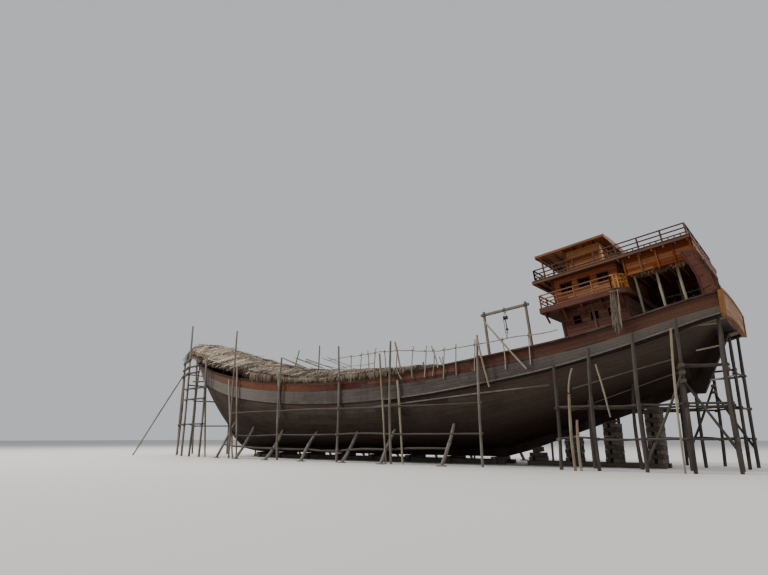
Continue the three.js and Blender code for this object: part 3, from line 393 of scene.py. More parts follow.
# columns: rail x, keel x, top of keel, top of cap rail, half-breadth, drop to the ledge, tuck, fullness
stationColumns = ["railX", "keelX", "low", "high", "half", "ledge", "tuck", "full"]
stationRows = [
    (-25.0, -25.0, 7.4, 8.87, 3.95, 1.17, 1.7, 0.2), (-24.2, -24.2, 7.25, 8.7, 4.08, 1.19, 1.7, 0.2),
    (-22.6, -22.6, 4.7, 8.34, 4.28, 1.3, 0.85, 0.32), (-20.4, -20.4, 3.95, 7.8, 4.5, 1.36, 0.46, 0.45),
    (-18.4, -18.4, 3.29, 7.38, 4.66, 1.42, 0.28, 0.55), (-16.5, -16.5, 2.67, 7.06, 4.78, 1.5, 0.14, 0.64),
    (-14.3, -14.3, 1.94, 6.79, 4.93, 1.6, 0.07, 0.72), (-11.3, -11.3, 1.1, 6.43, 5.12, 1.64, 0.07, 0.8),
    (-8.0, -8.0, 0.95, 6.1, 5.21, 1.68, 0.07, 0.86), (-4.0, -4.0, 0.95, 5.87, 5.28, 1.72, 0.07, 0.9),
    (0.0, 0.0, 0.95, 5.82, 5.3, 1.75, 0.07, 0.9), (4.0, 4.0, 0.95, 5.93, 5.3, 1.75, 0.07, 0.88),
    (8.0, 7.8, 0.95, 6.24, 5.2, 1.75, 0.07, 0.82), (12.0, 11.0, 0.95, 6.75, 4.95, 1.75, 0.07, 0.72),
    (15.5, 13.6, 0.97, 7.42, 4.38, 1.75, 0.07, 0.6), (18.5, 15.6, 1.15, 8.15, 3.6, 1.75, 0.07, 0.5),
    (21.0, 17.2, 1.75, 8.78, 2.65, 1.75, 0.07, 0.42), (23.2, 18.7, 3.0, 9.28, 1.45, 1.75, 0.06, 0.35),
    (24.8, 19.9, 4.5, 9.62, 0.36, 1.75, 0.04, 0.3),
]
lines = {column: np.array([row[i] for row in stationRows]) for i, column in enumerate(stationColumns)}
side = {
    "bulwark": 0.8, "wall": 0.28, "wallShare": 0.35, "cap": 0.1, "capOver": 0.08, "inset": 0.05,
    "keelSeat": 0.2, "camber": 0.1, "deckDrop": (0.85, 1.0), "deckOverLedge": 0.42,
}
smoothColumns = ("high", "half")
slopes = {column: np.gradient(lines[column], lines["railX"]) for column in smoothColumns}


def at(x):
    values = {column: float(np.interp(x, lines["railX"], lines[column])) for column in stationColumns}
    i = min(max(int(np.searchsorted(lines["railX"], x)) - 1, 0), len(stationRows) - 2)
    x0, x1 = lines["railX"][i], lines["railX"][i + 1]
    t, run = (x - x0) / (x1 - x0), x1 - x0
    for column in smoothColumns:  # a fair curve through the stations
        a, b, sa, sb = lines[column][i], lines[column][i + 1], slopes[column][i], slopes[column][i + 1]
        values[column] = float(
            (2 * t**3 - 3 * t**2 + 1) * a + (t**3 - 2 * t**2 + t) * run * sa
            + (3 * t**2 - 2 * t**3) * b + (t**3 - t**2) * run * sb
        )
    least, most = side["deckDrop"]
    values["deck"] = values["high"] - max(least, min(most, values["ledge"] - side["deckOverLedge"]))
    values["waleTop"] = values["high"] - side["bulwark"]
    values["ledgeZ"] = values["high"] - values["ledge"]
    values["inner"] = values["half"] - min(side["wall"], side["wallShare"] * values["half"])
    return values


def leaning(s, y, z):
    return (s["keelX"] + (s["railX"] - s["keelX"]) * (z - s["low"]) / (s["high"] - s["low"]), y, z)


def distances(points):  # from the first point, along the others
    return np.concatenate([[0], np.cumsum(np.linalg.norm(np.diff(points, axis=0), axis=1))])


# half a section from the keel up to the ledge, on a curve with two handles, in even steps
def section(s, count):
    top, breadth = s["ledgeZ"], s["half"] - s["tuck"]
    rise, seat, full = top - s["low"], side["keelSeat"], s["full"]
    across = lambda share: seat + (breadth - seat) * share
    bend = lambda a, b: a + (b - a) * full
    hold = np.array([
        (seat, s["low"]), (across(bend(0.15, 0.85)), s["low"] + rise * bend(0.3, 0.04)),
        (across(bend(0.65, 1.03)), top - rise * bend(0.35, 0.55)), (breadth, top),
    ])
    t = np.linspace(0, 1, 33)[:, None]
    u = 1 - t
    curve = u**3 * hold[0] + 3 * u**2 * t * hold[1] + 3 * u * t**2 * hold[2] + t**3 * hold[3]
    run = distances(curve)
    even = np.linspace(0, run[-1], count + 1)
    ys, zs = (np.interp(even, run, curve[:, i]) for i in (0, 1))
    return [leaning(s, y, z) for y, z in zip(ys, zs)]


# modelling helpers


def deselect():
    if bpy.context.object and bpy.context.object.mode != "OBJECT":
        bpy.ops.object.mode_set(mode="OBJECT")
    bpy.ops.object.select_all(action="DESELECT")


def together(parts):
    deselect()
    for part in parts:
        part.select_set(True)
    bpy.context.view_layer.objects.active = parts[0]
    if len(parts) > 1:
        bpy.ops.object.join()
    return parts[0]


def applied(piece, kind, **settings):
    together([piece])
    modifier = piece.modifiers.new(kind.lower(), kind)
    for key, value in settings.items():
        setattr(modifier, key, value)
    bpy.ops.object.modifier_apply(modifier=modifier.name)


def finished(piece, name, look, slot, replaces=(), body="ship"):
    piece.name = name
    piece.data.name = name
    piece.data.materials.clear()
    piece.data.materials.append(looks[look])
    piece.data.transform(Matrix.Scale(scale, 4))
    places = np.empty(len(piece.data.vertices) * 3)
    piece.data.vertices.foreach_get("co", places)
    places[2::3] = np.maximum(places[2::3], 0.0)  # feet stand on the ground, not in it
    piece.data.vertices.foreach_set("co", places)
    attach(piece, body)
    if replaces:
        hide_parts(*replaces)


def setTones(mesh, values):
    layer = mesh.attributes.get("tone") or mesh.attributes.new("tone", "FLOAT", "FACE")
    layer.data.foreach_set("value", np.asarray(values, np.float32))


# a grid laid on rows by columns of points, and the row and column of each of its vertices
def gridOn(points):
    rows, columns = points.shape[0] - 1, points.shape[1] - 1
    deselect()
    bpy.ops.mesh.primitive_grid_add(x_subdivisions=columns, y_subdivisions=rows, size=2)
    piece = bpy.context.object
    flat = np.empty(len(piece.data.vertices) * 3)
    piece.data.vertices.foreach_get("co", flat)
    column = np.rint((flat[0::3] + 1) / 2 * columns).astype(int)
    row = np.rint((flat[1::3] + 1) / 2 * rows).astype(int)
    piece.data.vertices.foreach_set("co", points[row, column].ravel())
    return piece, row, column


planks = {  # shares of a board's length, shifts in the grain, and angle of the edges that get a bevel
    "first": (0.3, 1.0), "next": (0.8, 1.2), "last": 0.3, "strakeShift": 0.13, "shift": 40,
    "edge": math.radians(40),
}


# a planked skin: points are rows across by columns along, a strake between two rows
def planked(points, boardLong, thick, bevel, facing, proud):
    points = np.asarray(points, float)
    rows, columns = points.shape[0] - 1, points.shape[1] - 1
    skin, row, column = gridOn(points)
    mesh = skin.data
    along, across = distances(points[rows // 2]), distances(points[:, columns // 2])
    butts = []  # where each strake's boards end
    for _ in range(rows):
        ends, mark = set(), dice.uniform(*planks["first"]) * boardLong
        while mark < along[-1] - planks["last"] * boardLong:
            ends.add(int(np.argmin(np.abs(along - mark))))
            mark += boardLong * dice.uniform(*planks["next"])
        butts.append(ends)
    made = bmesh.new()
    made.from_mesh(mesh)
    seams = []
    for edge in made.edges:
        a, b = edge.verts[0].index, edge.verts[1].index
        if len(edge.link_faces) < 2:
            continue
        if row[a] == row[b] or column[a] in butts[min(row[a], row[b])] and column[a] == column[b]:
            seams.append(edge)
    uv = made.loops.layers.uv.verify()
    tones, boards = [], {}
    for face in made.faces:
        r = min(row[v.index] for v in face.verts)
        c = min(column[v.index] for v in face.verts)
        board = (r, sum(1 for end in butts[r] if end <= c))
        tone, shift = boards.setdefault(board, (dice.random(), dice.uniform(0, planks["shift"])))
        tones.append(tone)
        for loop in face.loops:
            i = loop.vert.index
            loop[uv].uv = (along[column[i]] + shift, across[row[i]] + (r + 1) * planks["strakeShift"])
    bmesh.ops.split_edges(made, edges=seams)
    made.to_mesh(mesh)
    made.free()
    setTones(mesh, tones)
    normals = np.zeros(len(mesh.polygons) * 3)
    mesh.polygons.foreach_get("normal", normals)
    if float(np.sum(normals.reshape(-1, 3) @ np.array(facing))) < 0:
        mesh.flip_normals()
    applied(skin, "SOLIDIFY", thickness=thick, offset=-1 + 2 * proud / thick, use_even_offset=False)
    applied(skin, "BEVEL", width=bevel, segments=1, limit_method="ANGLE", angle_limit=planks["edge"])
    return skin


# a closed timber through rings of corners, faired along the ship
def lofted(rings):
    points = np.array([list(ring) + [ring[0]] for ring in rings], float).transpose(1, 0, 2)
    piece, row, column = gridOn(points)
    mesh = piece.data
    along, across = distances(points[0]), distances(points[:, 0])
    for loop, corner in zip(mesh.loops, mesh.uv_layers.active.data):
        corner.uv = (along[column[loop.vertex_index]], across[row[loop.vertex_index]])
    bpy.ops.object.mode_set(mode="EDIT")
    bpy.ops.mesh.select_all(action="SELECT")
    bpy.ops.mesh.remove_doubles(threshold=1e-5)
    bpy.ops.mesh.select_all(action="SELECT")
    bpy.ops.mesh.fill_holes(sides=0)
    bpy.ops.mesh.select_all(action="SELECT")
    bpy.ops.mesh.normals_make_consistent(inside=False)
    bpy.ops.object.mode_set(mode="OBJECT")
    setTones(mesh, [0.5] * len(mesh.polygons))
    return piece


# boards, poles, lashings, rings and drums are modelled here once and then laid many times
models = {
    "edge": 0.012, "poleSides": 8, "poleRings": 7, "poles": 4, "knots": 3, "knot": 0.16, "turns": 4,
    "turnStep": 0.3, "ring": 0.2, "drumSides": 16, "drumEdge": 0.08,
}


def bevelled(piece, edge):
    bpy.ops.object.mode_set(mode="EDIT")
    bpy.ops.mesh.select_all(action="SELECT")
    bpy.ops.mesh.bevel(offset=edge, segments=1, affect="EDGES")
    bpy.ops.object.mode_set(mode="OBJECT")
    return piece


def boardModel():
    deselect()
    bpy.ops.mesh.primitive_cube_add(size=1)
    return bevelled(bpy.context.object, models["edge"])


# a round pole, bowed and tapered, with knots
def poleModel(seed):
    shape = random.Random(seed)
    deselect()
    sides = models["poleSides"]
    bpy.ops.mesh.primitive_cylinder_add(vertices=sides, radius=1, depth=1, end_fill_type="TRIFAN")
    pole = bpy.context.object
    made = bmesh.new()
    made.from_mesh(pole.data)
    long = [e for e in made.edges if abs(e.verts[0].co.z - e.verts[1].co.z) > 0.5]
    bmesh.ops.subdivide_edges(made, edges=long, cuts=models["poleRings"], use_grid_fill=True)
    bow = shape.uniform(0.6, 1.5)
    turn = shape.uniform(0, 2 * math.pi)
    knots = [(shape.uniform(-0.4, 0.4), shape.uniform(0, 2 * math.pi)) for _ in range(models["knots"])]
    for v in made.verts:
        t = v.co.z + 0.5
        thick = 1.06 - 0.16 * t + 0.05 * math.sin(19 * t + turn)
        for z, angle in knots:
            near = abs(v.co.z - z) < 0.09 and math.cos(math.atan2(v.co.y, v.co.x) - angle) > 0.55
            thick += models["knot"] if near else 0
        v.co.x = v.co.x * thick + bow * math.sin(math.pi * t) * math.cos(turn)
        v.co.y = v.co.y * thick + bow * math.sin(math.pi * t) * math.sin(turn)
    made.to_mesh(pole.data)
    made.free()
    return pole


def lashingModel():
    deselect()
    turns = []
    for k in range(models["turns"]):
        off = k - (models["turns"] - 1) / 2
        bpy.ops.mesh.primitive_torus_add(
            major_radius=1.12, minor_radius=0.16, major_segments=9, minor_segments=4,
            location=(0, 0, off * models["turnStep"]), rotation=(0.12 * off, 0.1, 0.3 * k))
        turns.append(bpy.context.object)
    rope = together(turns)
    bpy.ops.object.transform_apply(location=True, rotation=True, scale=True)
    return rope


def ringModel():
    deselect()
    bpy.ops.mesh.primitive_torus_add(
        major_radius=1, minor_radius=models["ring"], major_segments=16, minor_segments=6)
    return bpy.context.object


def drumModel():
    deselect()
    bpy.ops.mesh.primitive_cylinder_add(vertices=models["drumSides"], radius=1, depth=2, end_fill_type="NGON")
    return bevelled(bpy.context.object, models["drumEdge"])


def arraysOf(model):
    mesh = model.data
    points = np.empty(len(mesh.vertices) * 3)
    mesh.vertices.foreach_get("co", points)
    faces = [list(p.vertices) for p in mesh.polygons]
    normals = np.array([p.normal[:] for p in mesh.polygons])
    bpy.data.objects.remove(model)
    return points.reshape(-1, 3), faces, normals


boardShape = arraysOf(boardModel())
poleShapes = [arraysOf(poleModel(seed)) for seed in range(models["poles"])]
lashingShape, ringShape, drumShape = arraysOf(lashingModel()), arraysOf(ringModel()), arraysOf(drumModel())


# a copy is its points, faces, uv of each corner and tone; uv is given here for each point
def copied(points, faces, uv, tone):
    return points, faces, np.stack(uv, axis=1)[[i for face in faces for i in face]], tone


def joined(copies):
    points, faces, corners, tones, base = [], [], [], [], 0
    for copyPoints, copyFaces, copyUv, tone in copies:
        points.append(copyPoints)
        faces.extend([[i + base for i in face] for face in copyFaces])
        corners.append(copyUv)
        tones.extend([tone] * len(copyFaces))
        base += len(copyPoints)
    mesh = bpy.data.meshes.new("laid")
    mesh.from_pydata(np.concatenate(points).tolist(), [], faces)
    uv = mesh.uv_layers.new(name="UVMap")
    uv.data.foreach_set("uv", np.concatenate(corners).astype(np.float32).ravel())
    setTones(mesh, tones)
    piece = bpy.data.objects.new("laid", mesh)
    bpy.context.scene.collection.objects.link(piece)
    return piece


# copies become one piece; space is the deckhouse's or the gear's own frame
def lay(copies, name, look, slot, replaces=(), body="ship", space=None):
    if space is not None:
        turn, shift = np.array(space.to_3x3()), np.array(space.translation)
        copies = [(points @ turn.T + shift, *rest) for points, *rest in copies]
    finished(joined(copies), name, look, slot, replaces, body)


# a board from its middle, its long, wide and thick directions, and its size; its edges stay as modelled
def boardAt(middle, turn, size, tone=None):
    points, faces, normals = boardShape
    edge = models["edge"]
    sign = np.sign(points)
    rest = points - sign * (0.5 - edge)
    half = np.maximum(np.array(size) / 2 - edge, 0.001)
    local = sign * half + rest * np.minimum(1, np.array(size) / (2.5 * edge))
    shift = dice.uniform(0, 60)
    corners = []
    for face, normal in zip(faces, normals):
        u, v = [(1, 2), (0, 2), (0, 1)][int(np.argmax(np.abs(normal)))]
        corners.extend([(local[i][u] + shift, local[i][v] + 0.31 * shift) for i in face])
    world = local @ np.array(turn).T + np.array(middle)
    return world, faces, np.array(corners), dice.random() if tone is None else tone


def turnOf(along, upward=zAxis):
    x = Vector(along).normalized()
    y = Vector(upward).cross(x)
    y = y.normalized() if y.length > 1e-6 else Vector(yAxis)
    z = x.cross(y)
    return np.array([[x[i], y[i], z[i]] for i in range(3)])


def standing(along, upward):  # the same for what is modelled along z
    return np.roll(turnOf(along, upward), -1, axis=1)


def beam(a, b, wide, deep, tone=None, upward=zAxis):
    a, b = np.array(a, float), np.array(b, float)
    return boardAt((a + b) / 2, turnOf(b - a, upward), (float(np.linalg.norm(b - a)), wide, deep), tone)


def post(x, y, low, high, wide, deep, upward=yAxis):
    return beam((x, y, low), (x, y, high), wide, deep, upward=upward)


def between(spots, kind, *sizes):  # beams or poles from each spot to the next
    return [kind(a, b, *sizes) for a, b in zip(spots[:-1], spots[1:])]


def pole(a, b, radius):
    a, b = np.array(a, float), np.array(b, float)
    if dice.random() < 0.5 and abs(b[2] - a[2]) < 0.5:  # level poles lie either way round
        a, b = b, a
    points, faces, _ = poleShapes[dice.randrange(len(poleShapes))]
    long = float(np.linalg.norm(b - a))
    t = points[:, 2] + 0.5
    angle = dice.uniform(0, 2 * math.pi)
    c, s = math.cos(angle), math.sin(angle)
    straight = (points * np.array([radius, radius, 1])) @ np.array([[c, -s, 0], [s, c, 0], [0, 0, 1]]).T
    straight[:, 2] = t * long
    world = straight @ standing(b - a, (0.2, 0.9, 0.1)).T + a
    shift = dice.uniform(0, 60)
    around = np.arctan2(points[:, 1], points[:, 0]) * radius
    return copied(world, faces, (t * long + shift, around + shift), dice.random())


def lashing(middle, radius):
    points, faces, _ = lashingShape
    world = (points * radius) @ standing(zAxis, (0.3, 0.8, 0.2)).T + np.array(middle)
    return copied(world, faces, (points[:, 0], points[:, 2]), dice.random())


def ringAt(middle, radius, thick, axis):
    points, faces, _ = ringShape
    around = np.arctan2(points[:, 1], points[:, 0])
    spine = np.stack([np.cos(around), np.sin(around), np.zeros(len(points))], axis=1)
    local = spine * radius + (points - spine) / models["ring"] * thick
    world = local @ standing(axis, (0.1, 0.2, 0.97)).T + np.array(middle)
    return copied(world, faces, (around, points[:, 2]), 0.5)


def drumAt(middle, radius, half, axis=xAxis):
    points, faces, _ = drumShape
    local = points * np.array([radius, radius, half])
    world = local @ standing(axis, (0.1, 0.2, 0.97)).T + np.array(middle)
    return copied(world, faces, (points[:, 0] * radius, points[:, 2] * half), 0.5)


def rodAt(a, b, radius):
    a, b = np.array(a, float), np.array(b, float)
    return drumAt((a + b) / 2, radius, float(np.linalg.norm(b - a)) / 2 + radius * 0.5, b - a)


print("modelling helpers ready")


# hull below the wale

hull = {
    "ends": (-25.0, 24.8), "columns": 114, "strakes": 17, "boardLong": 6.4, "thick": 0.075, "proud": 0.034,
    "bevel": 0.014,
}


def makeHull():
    h = hull
    sections = [section(at(x), h["strakes"]) for x in np.linspace(*h["ends"], h["columns"])]
    for name, facing in sides:
        points = np.array(sections).transpose(1, 0, 2) * np.array([1, facing, 1])
        skin = planked(points, h["boardLong"], h["thick"], h["bevel"], (0, facing, -0.2), h["proud"])
        finished(skin, f"hull_strakes_{name}", "hullPlanks", "dark_hull_planks")


# wale, bulwark and cap rail on each side

topside = {
    "ends": (-25.0, 24.8), "columns": 92, "waleStrakes": 4, "bulwarkStrakes": 3, "boardLong": 8.0,
    "thick": 0.05, "proud": 0.03, "bevel": 0.012, "stanchion": (0.16, 0.15), "stanchionEnd": 23.4, "every": 1.12,
    "capLong": 7.5, "capBevel": 0.018, "capIn": (0.1, 0.2), "capJoint": 0.006, "capLift": (-0.004, 0.008),
    "ledgeEnd": -16.2, "ledgeDeep": 0.14, "ledgeIn": 0.45, "ledgeBevel": 0.02, "beadEnd": -4.6,
    "caulkShadowRuns": [(2.5, -3.2), (-4.6, -7.4), (-8.3, -11.4), (-12.0, -15.6), (-17.2, -19.5)],
}
profiles = {  # corners out of the ship's side and over the ledge or the wale
    "bead": ("ledgeZ", [(-0.05, -0.04), (-0.05, 0.045), (0.06, 0.045), (0.12, 0.0195), (0.12, -0.04)]),
    # a strip of painted shadow under the bead
    "bead_shadow": ("ledgeZ", [(-0.15, -0.17), (-0.15, -0.04), (0.035, -0.04), (0.03, -0.17)]),
    # pitch-filled joins over the wale: real joins, their darkness partly painted shadow
    "caulkShadow": ("waleTop", [(-0.1, 0.0), (-0.1, 0.05), (0.01, 0.05), (0.035, 0.005)]),
}


def boxed(inner, low, outer, high):
    return [(inner, low), (inner, high), (outer, high), (outer, low)]


def loftedAlong(xs, corners, facing):
    return lofted([[leaning(s, y * facing, z) for y, z in corners(s)] for s in map(at, xs)])


# strakes of a side's face between two edges of the section
def strakes(xs, edges, rows, facing, out):
    t = topside
    points = []
    for r in range(rows + 1):
        row = []
        for s in map(at, xs):
            (y0, z0), (y1, z1) = edges(s)
            row.append(leaning(s, facing * (y0 + (y1 - y0) * r / rows), z0 + (z1 - z0) * r / rows))
        points.append(row)
    return planked(points, t["boardLong"], t["thick"], t["bevel"], (0, out, 0), t["proud"])


def makeTopsides():
    t = topside
    xs = np.linspace(*t["ends"], t["columns"])
    out = lambda s: s["half"] - side["inset"]
    head = lambda s: s["high"] - side["cap"]
    wale = lambda s: boxed(s["inner"], s["ledgeZ"], s["half"], s["waleTop"])
    wall = lambda s: boxed(s["inner"], s["waleTop"], out(s), head(s))
    waleFace = lambda s: ((s["half"], s["ledgeZ"]), (s["half"], s["waleTop"]))
    wallFace = lambda s: ((out(s), s["waleTop"]), (out(s), head(s)))
    lining = lambda s: ((s["inner"], s["deck"]), (s["inner"], head(s)))
    grey, red = ("waleTimber", "grey_wale"), ("bulwarkPlanks", "red_brown_planks")
    for name, facing in sides:
        finished(loftedAlong(xs, wale, facing), f"wale_core_{name}", *grey, [f"wale_{name}"])
        finished(strakes(xs, waleFace, t["waleStrakes"], facing, facing), f"wale_strakes_{name}", *grey)
        finished(loftedAlong(xs, wall, facing), f"bulwark_core_{name}", *red, [f"bulwark_{name}"])
        count = t["bulwarkStrakes"]
        finished(strakes(xs, wallFace, count, facing, facing), f"bulwark_strakes_{name}", *red)
        finished(strakes(xs[:-2], lining, count, facing, -facing), f"bulwark_lining_{name}", *red)
        makeCapRail(name, facing)
        makeStanchions(name, facing)
    makeLedges()


def makeCapRail(name, facing):
    t = topside
    edges = [*np.arange(t["ends"][0], t["ends"][1] - 2.0, t["capLong"]), t["ends"][1]]
    most, share = t["capIn"]
    lengths = []
    for a, b in zip(edges[:-1], edges[1:]):
        lift = dice.uniform(*t["capLift"])
        cap = lambda s: boxed(s["inner"] - min(most, share * s["inner"]), s["high"] - side["cap"] + lift,
                              s["half"] + side["capOver"], s["high"] + lift)
        timber = loftedAlong(np.linspace(a + t["capJoint"], b - t["capJoint"], 16), cap, facing)
        applied(timber, "BEVEL", width=t["capBevel"], segments=2, limit_method="ANGLE")
        setTones(timber.data, [dice.random()] * len(timber.data.polygons))
        lengths.append(timber)
    finished(together(lengths), f"cap_timber_{name}", "capTimber", "rail_timber", [f"cap_rail_{name}"])


def makeStanchions(name, facing):
    t = topside
    wide, deep = t["stanchion"]
    copies = []
    for s in map(at, np.arange(t["ends"][0] + 0.5, t["stanchionEnd"], t["every"])):
        y = facing * (s["inner"] - 0.03 - deep / 2)
        foot, head = leaning(s, y, s["deck"] - 0.05), leaning(s, y, s["high"] - side["cap"] - 0.004)
        copies.append(beam(foot, head, wide, deep, upward=yAxis))
    lay(copies, f"stanchions_{name}", "bulwarkPlanks", "red_brown_planks")


def trimAlong(name, x0, x1, count, facing):
    base, corners = profiles[name]
    profile = lambda s: [(s["half"] + y, s[base] + z) for y, z in corners]
    return loftedAlong(np.linspace(x0, x1, count), profile, facing)


# a ledge and a bead under the wale aft, painted shadow under the bead, and dark pitch over the wale
def makeLedges():
    t = topside
    inner = lambda s: s["half"] - min(s["tuck"], t["ledgeIn"])
    ledge = lambda s: [
        (inner(s), s["ledgeZ"] - t["ledgeDeep"]), (inner(s), s["ledgeZ"]),
        (s["half"] + 0.05, s["ledgeZ"] + 0.02), (s["half"] + 0.05, s["ledgeZ"] - t["ledgeDeep"]),
    ]
    aft, end, beadEnd = t["ends"][0], t["ledgeEnd"], t["beadEnd"]
    for name, facing in sides:
        step = loftedAlong(np.linspace(aft, end, 20), ledge, facing)
        applied(step, "BEVEL", width=t["ledgeBevel"], segments=2, limit_method="ANGLE")
        # the ledge's near-black finish paints its shade
        finished(step, f"ledge_{name}", "keelTimber", "grey_wale")
        finished(trimAlong("bead", aft, beadEnd, 44, facing), f"bead_{name}", "ledgeTimber", "grey_wale")
        # a dark strip under the bead: painted shadow
        finished(trimAlong("bead_shadow", end, beadEnd, 30, facing), f"seam_{name}", "keelTimber", "grey_wale")
        # pitch-filled joins over the wale: real joins, their darkness partly painted shadow
        runs = [trimAlong("caulkShadow", b, a, 12, facing) for a, b in t["caulkShadowRuns"]]
        finished(together(runs), f"caulk_shadow_{name}", "keelTimber", "grey_wale")


# keel, stem and post stay as drawn; deck boards run fore and aft

deck = {"ends": (-24.9, 24.2), "columns": 60, "boards": 38, "boardLong": 6.0, "thick": 0.05, "proud": 0.02,
        "bevel": 0.008}


def makeDeck():
    d = deck
    stations = [at(x) for x in np.linspace(*d["ends"], d["columns"])]
    points = [
        [leaning(s, y * (s["inner"] - 0.01), s["deck"] + side["camber"] * (1 - abs(y))) for s in stations]
        for y in np.linspace(-1, 1, d["boards"] + 1)
    ]
    boards = planked(points, d["boardLong"], d["thick"], d["bevel"], zAxis, d["proud"])
    finished(boards, "deck_boards", "deckPlanks", "deck_planks")


# transom: boards follow its camber, with a moulding round the edge

transom = {
    "x": -25.16, "half": 4.08, "camber": 0.16, "boards": 7, "boardLong": 3.4, "thick": 0.04, "proud": 0.02,
    "bevel": 0.008, "trim": (0.13, 0.06), "low": (0.12, 0.28),
}


def transomEdge(y, top):
    s, share = at(-25.0), (y / transom["half"]) ** 2
    if top:
        return s["high"] + transom["camber"] * (1 - share)
    lift, sag = transom["low"]
    return s["ledgeZ"] + lift - sag * share


def makeTransom():
    t = transom
    ys = np.linspace(-t["half"] + 0.02, t["half"] - 0.02, 41)
    edges = [(y, transomEdge(y, False), transomEdge(y, True)) for y in ys]
    rows = [[(t["x"], y, low + (high - low) * r / t["boards"]) for y, low, high in edges]
            for r in range(t["boards"] + 1)]
    boards = planked(rows, t["boardLong"], t["thick"], t["bevel"], (-1, 0, 0), t["proud"])
    finished(boards, "transom_boards", "transomPlanks", "yellow_planks")
    trim, x, (wide, deep) = [], t["x"] - 0.03, t["trim"]
    for top, lift, share in ((False, 0.04, 0.8), (True, 0.03, 1)):
        trim += between([(x, y, transomEdge(y, top) + lift) for y in ys[::4]], beam, deep, wide * share, 0.4)
    for y, low, high in (edges[0], edges[-1]):
        trim.append(beam((x, y, low), (x, y, high), wide, deep, 0.5, upward=yAxis))
    lay(trim, "transom_moulding", "transomPlanks", "yellow_planks")


makeHull()
print("hull planked")
makeTopsides()
makeDeck()
makeTransom()
print("topsides, deck and transom done")


# deckhouse: its floors slope with the sheer, so it is laid out in a turned frame

houseSpace = Matrix.Translation((-16, 0, 9.08)) @ Matrix.Rotation(math.radians(7.4), 4, "Y")
storey = {"upperUnder": 1.7, "upper": 1.86, "roof": 3.67}
wallSizes = {
    "boardLong": 3.2, "share": (0.6, 1.1), "least": 0.8, "thick": 0.03, "uneven": (0.85, 1.15), "gap": 0.006,
    "bar": 0.05, "inside": 0.12,
}
gallery = {"front": 0.15, "aft": -4.9, "half": 4.6, "corner": 0.9}
upper = {"front": 0.4, "aft": -8.45, "half": 4.25}
screen = {"front": -4.95, "low": 0.64, "half": 4.0}


def inHouse(copies, name, look, slot, replaces=(), body="ship"):
    lay(copies, name, look, slot, replaces, body, houseSpace)


# a flat wall: origin, directions along, up and outward
def wallOf(x, y, out):
    along = xAxis if out[1] else yAxis
    return tuple(np.array(v, float) for v in ((x, y, 0), along, zAxis, out))


def levelsOf(low, high, holes, step):
    marks = sorted({low, high, *[edge for hole in holes for edge in hole[2:] if low < edge < high]})
    levels = []
    for a, b in zip(marks[:-1], marks[1:]):
        count = max(1, round((b - a) / step))
        levels += [(a + (b - a) * i / count, a + (b - a) * (i + 1) / count) for i in range(count)]
    return levels


# boards of a wall round its holes, which are (along, along, up, up)
def wallBoards(wall, span, height, step, holes=()):
    w = wallSizes
    origin, along, up, out = wall
    turn = np.stack([along, up, out], axis=1)
    copies = []
    for low, high in levelsOf(*height, holes, step):
        mid = (low + high) / 2
        cuts = sorted(hole[:2] for hole in holes if hole[2] < mid < hole[3])
        edges = [span[0], *[edge for cut in cuts for edge in cut], span[1]]
        for mark, b in zip(edges[::2], edges[1::2]):
            while mark < b - 0.02:
                end = mark + w["boardLong"] * dice.uniform(*w["share"])
                end = b if b - end < w["least"] else end
                proud = w["thick"] * dice.uniform(*w["uneven"])
                middle = origin + along * (mark + end) / 2 + up * mid + out * proud / 2
                copies.append(boardAt(middle, turn, (end - mark - w["gap"], high - low - w["gap"], proud)))
                mark = end
    return copies


# a frame round each window, with bars up and rails across it
def windowFrames(wall, holes, wide, proud, bars, rails):
    origin, along, up, out = wall
    bar = wallSizes["bar"]
    spot = lambda a, b: origin + along * a + up * b + out * proud / 2
    turnAlong, turnUp = np.stack([along, up, out], axis=1), np.stack([up, -along, out], axis=1)
    copies = []
    for a0, a1, b0, b1 in holes:
        a, b = (a0 + a1) / 2, (b0 + b1) / 2
        for edge in (b0 - wide / 2, b1 + wide / 2):
            copies.append(boardAt(spot(a, edge), turnAlong, (a1 - a0 + 2 * wide, wide, proud)))
        for edge in (a0 - wide / 2, a1 + wide / 2):
            copies.append(boardAt(spot(edge, b), turnUp, (b1 - b0, wide, proud)))
        for i in range(bars):
            inner = spot(a0 + (a1 - a0) * (i + 1) / (bars + 1), b) - out * proud
            copies.append(boardAt(inner, turnUp, (b1 - b0, bar, bar)))
        for i in range(rails):
            inner = spot(a, b0 + (b1 - b0) * (i + 1) / (rails + 1)) - out * proud
            copies.append(boardAt(inner, turnAlong, (a1 - a0, bar, bar)))
    return copies


def windowsAt(middles, half, low, high):
    return [(middle - half, middle + half, low, high) for middle in middles]


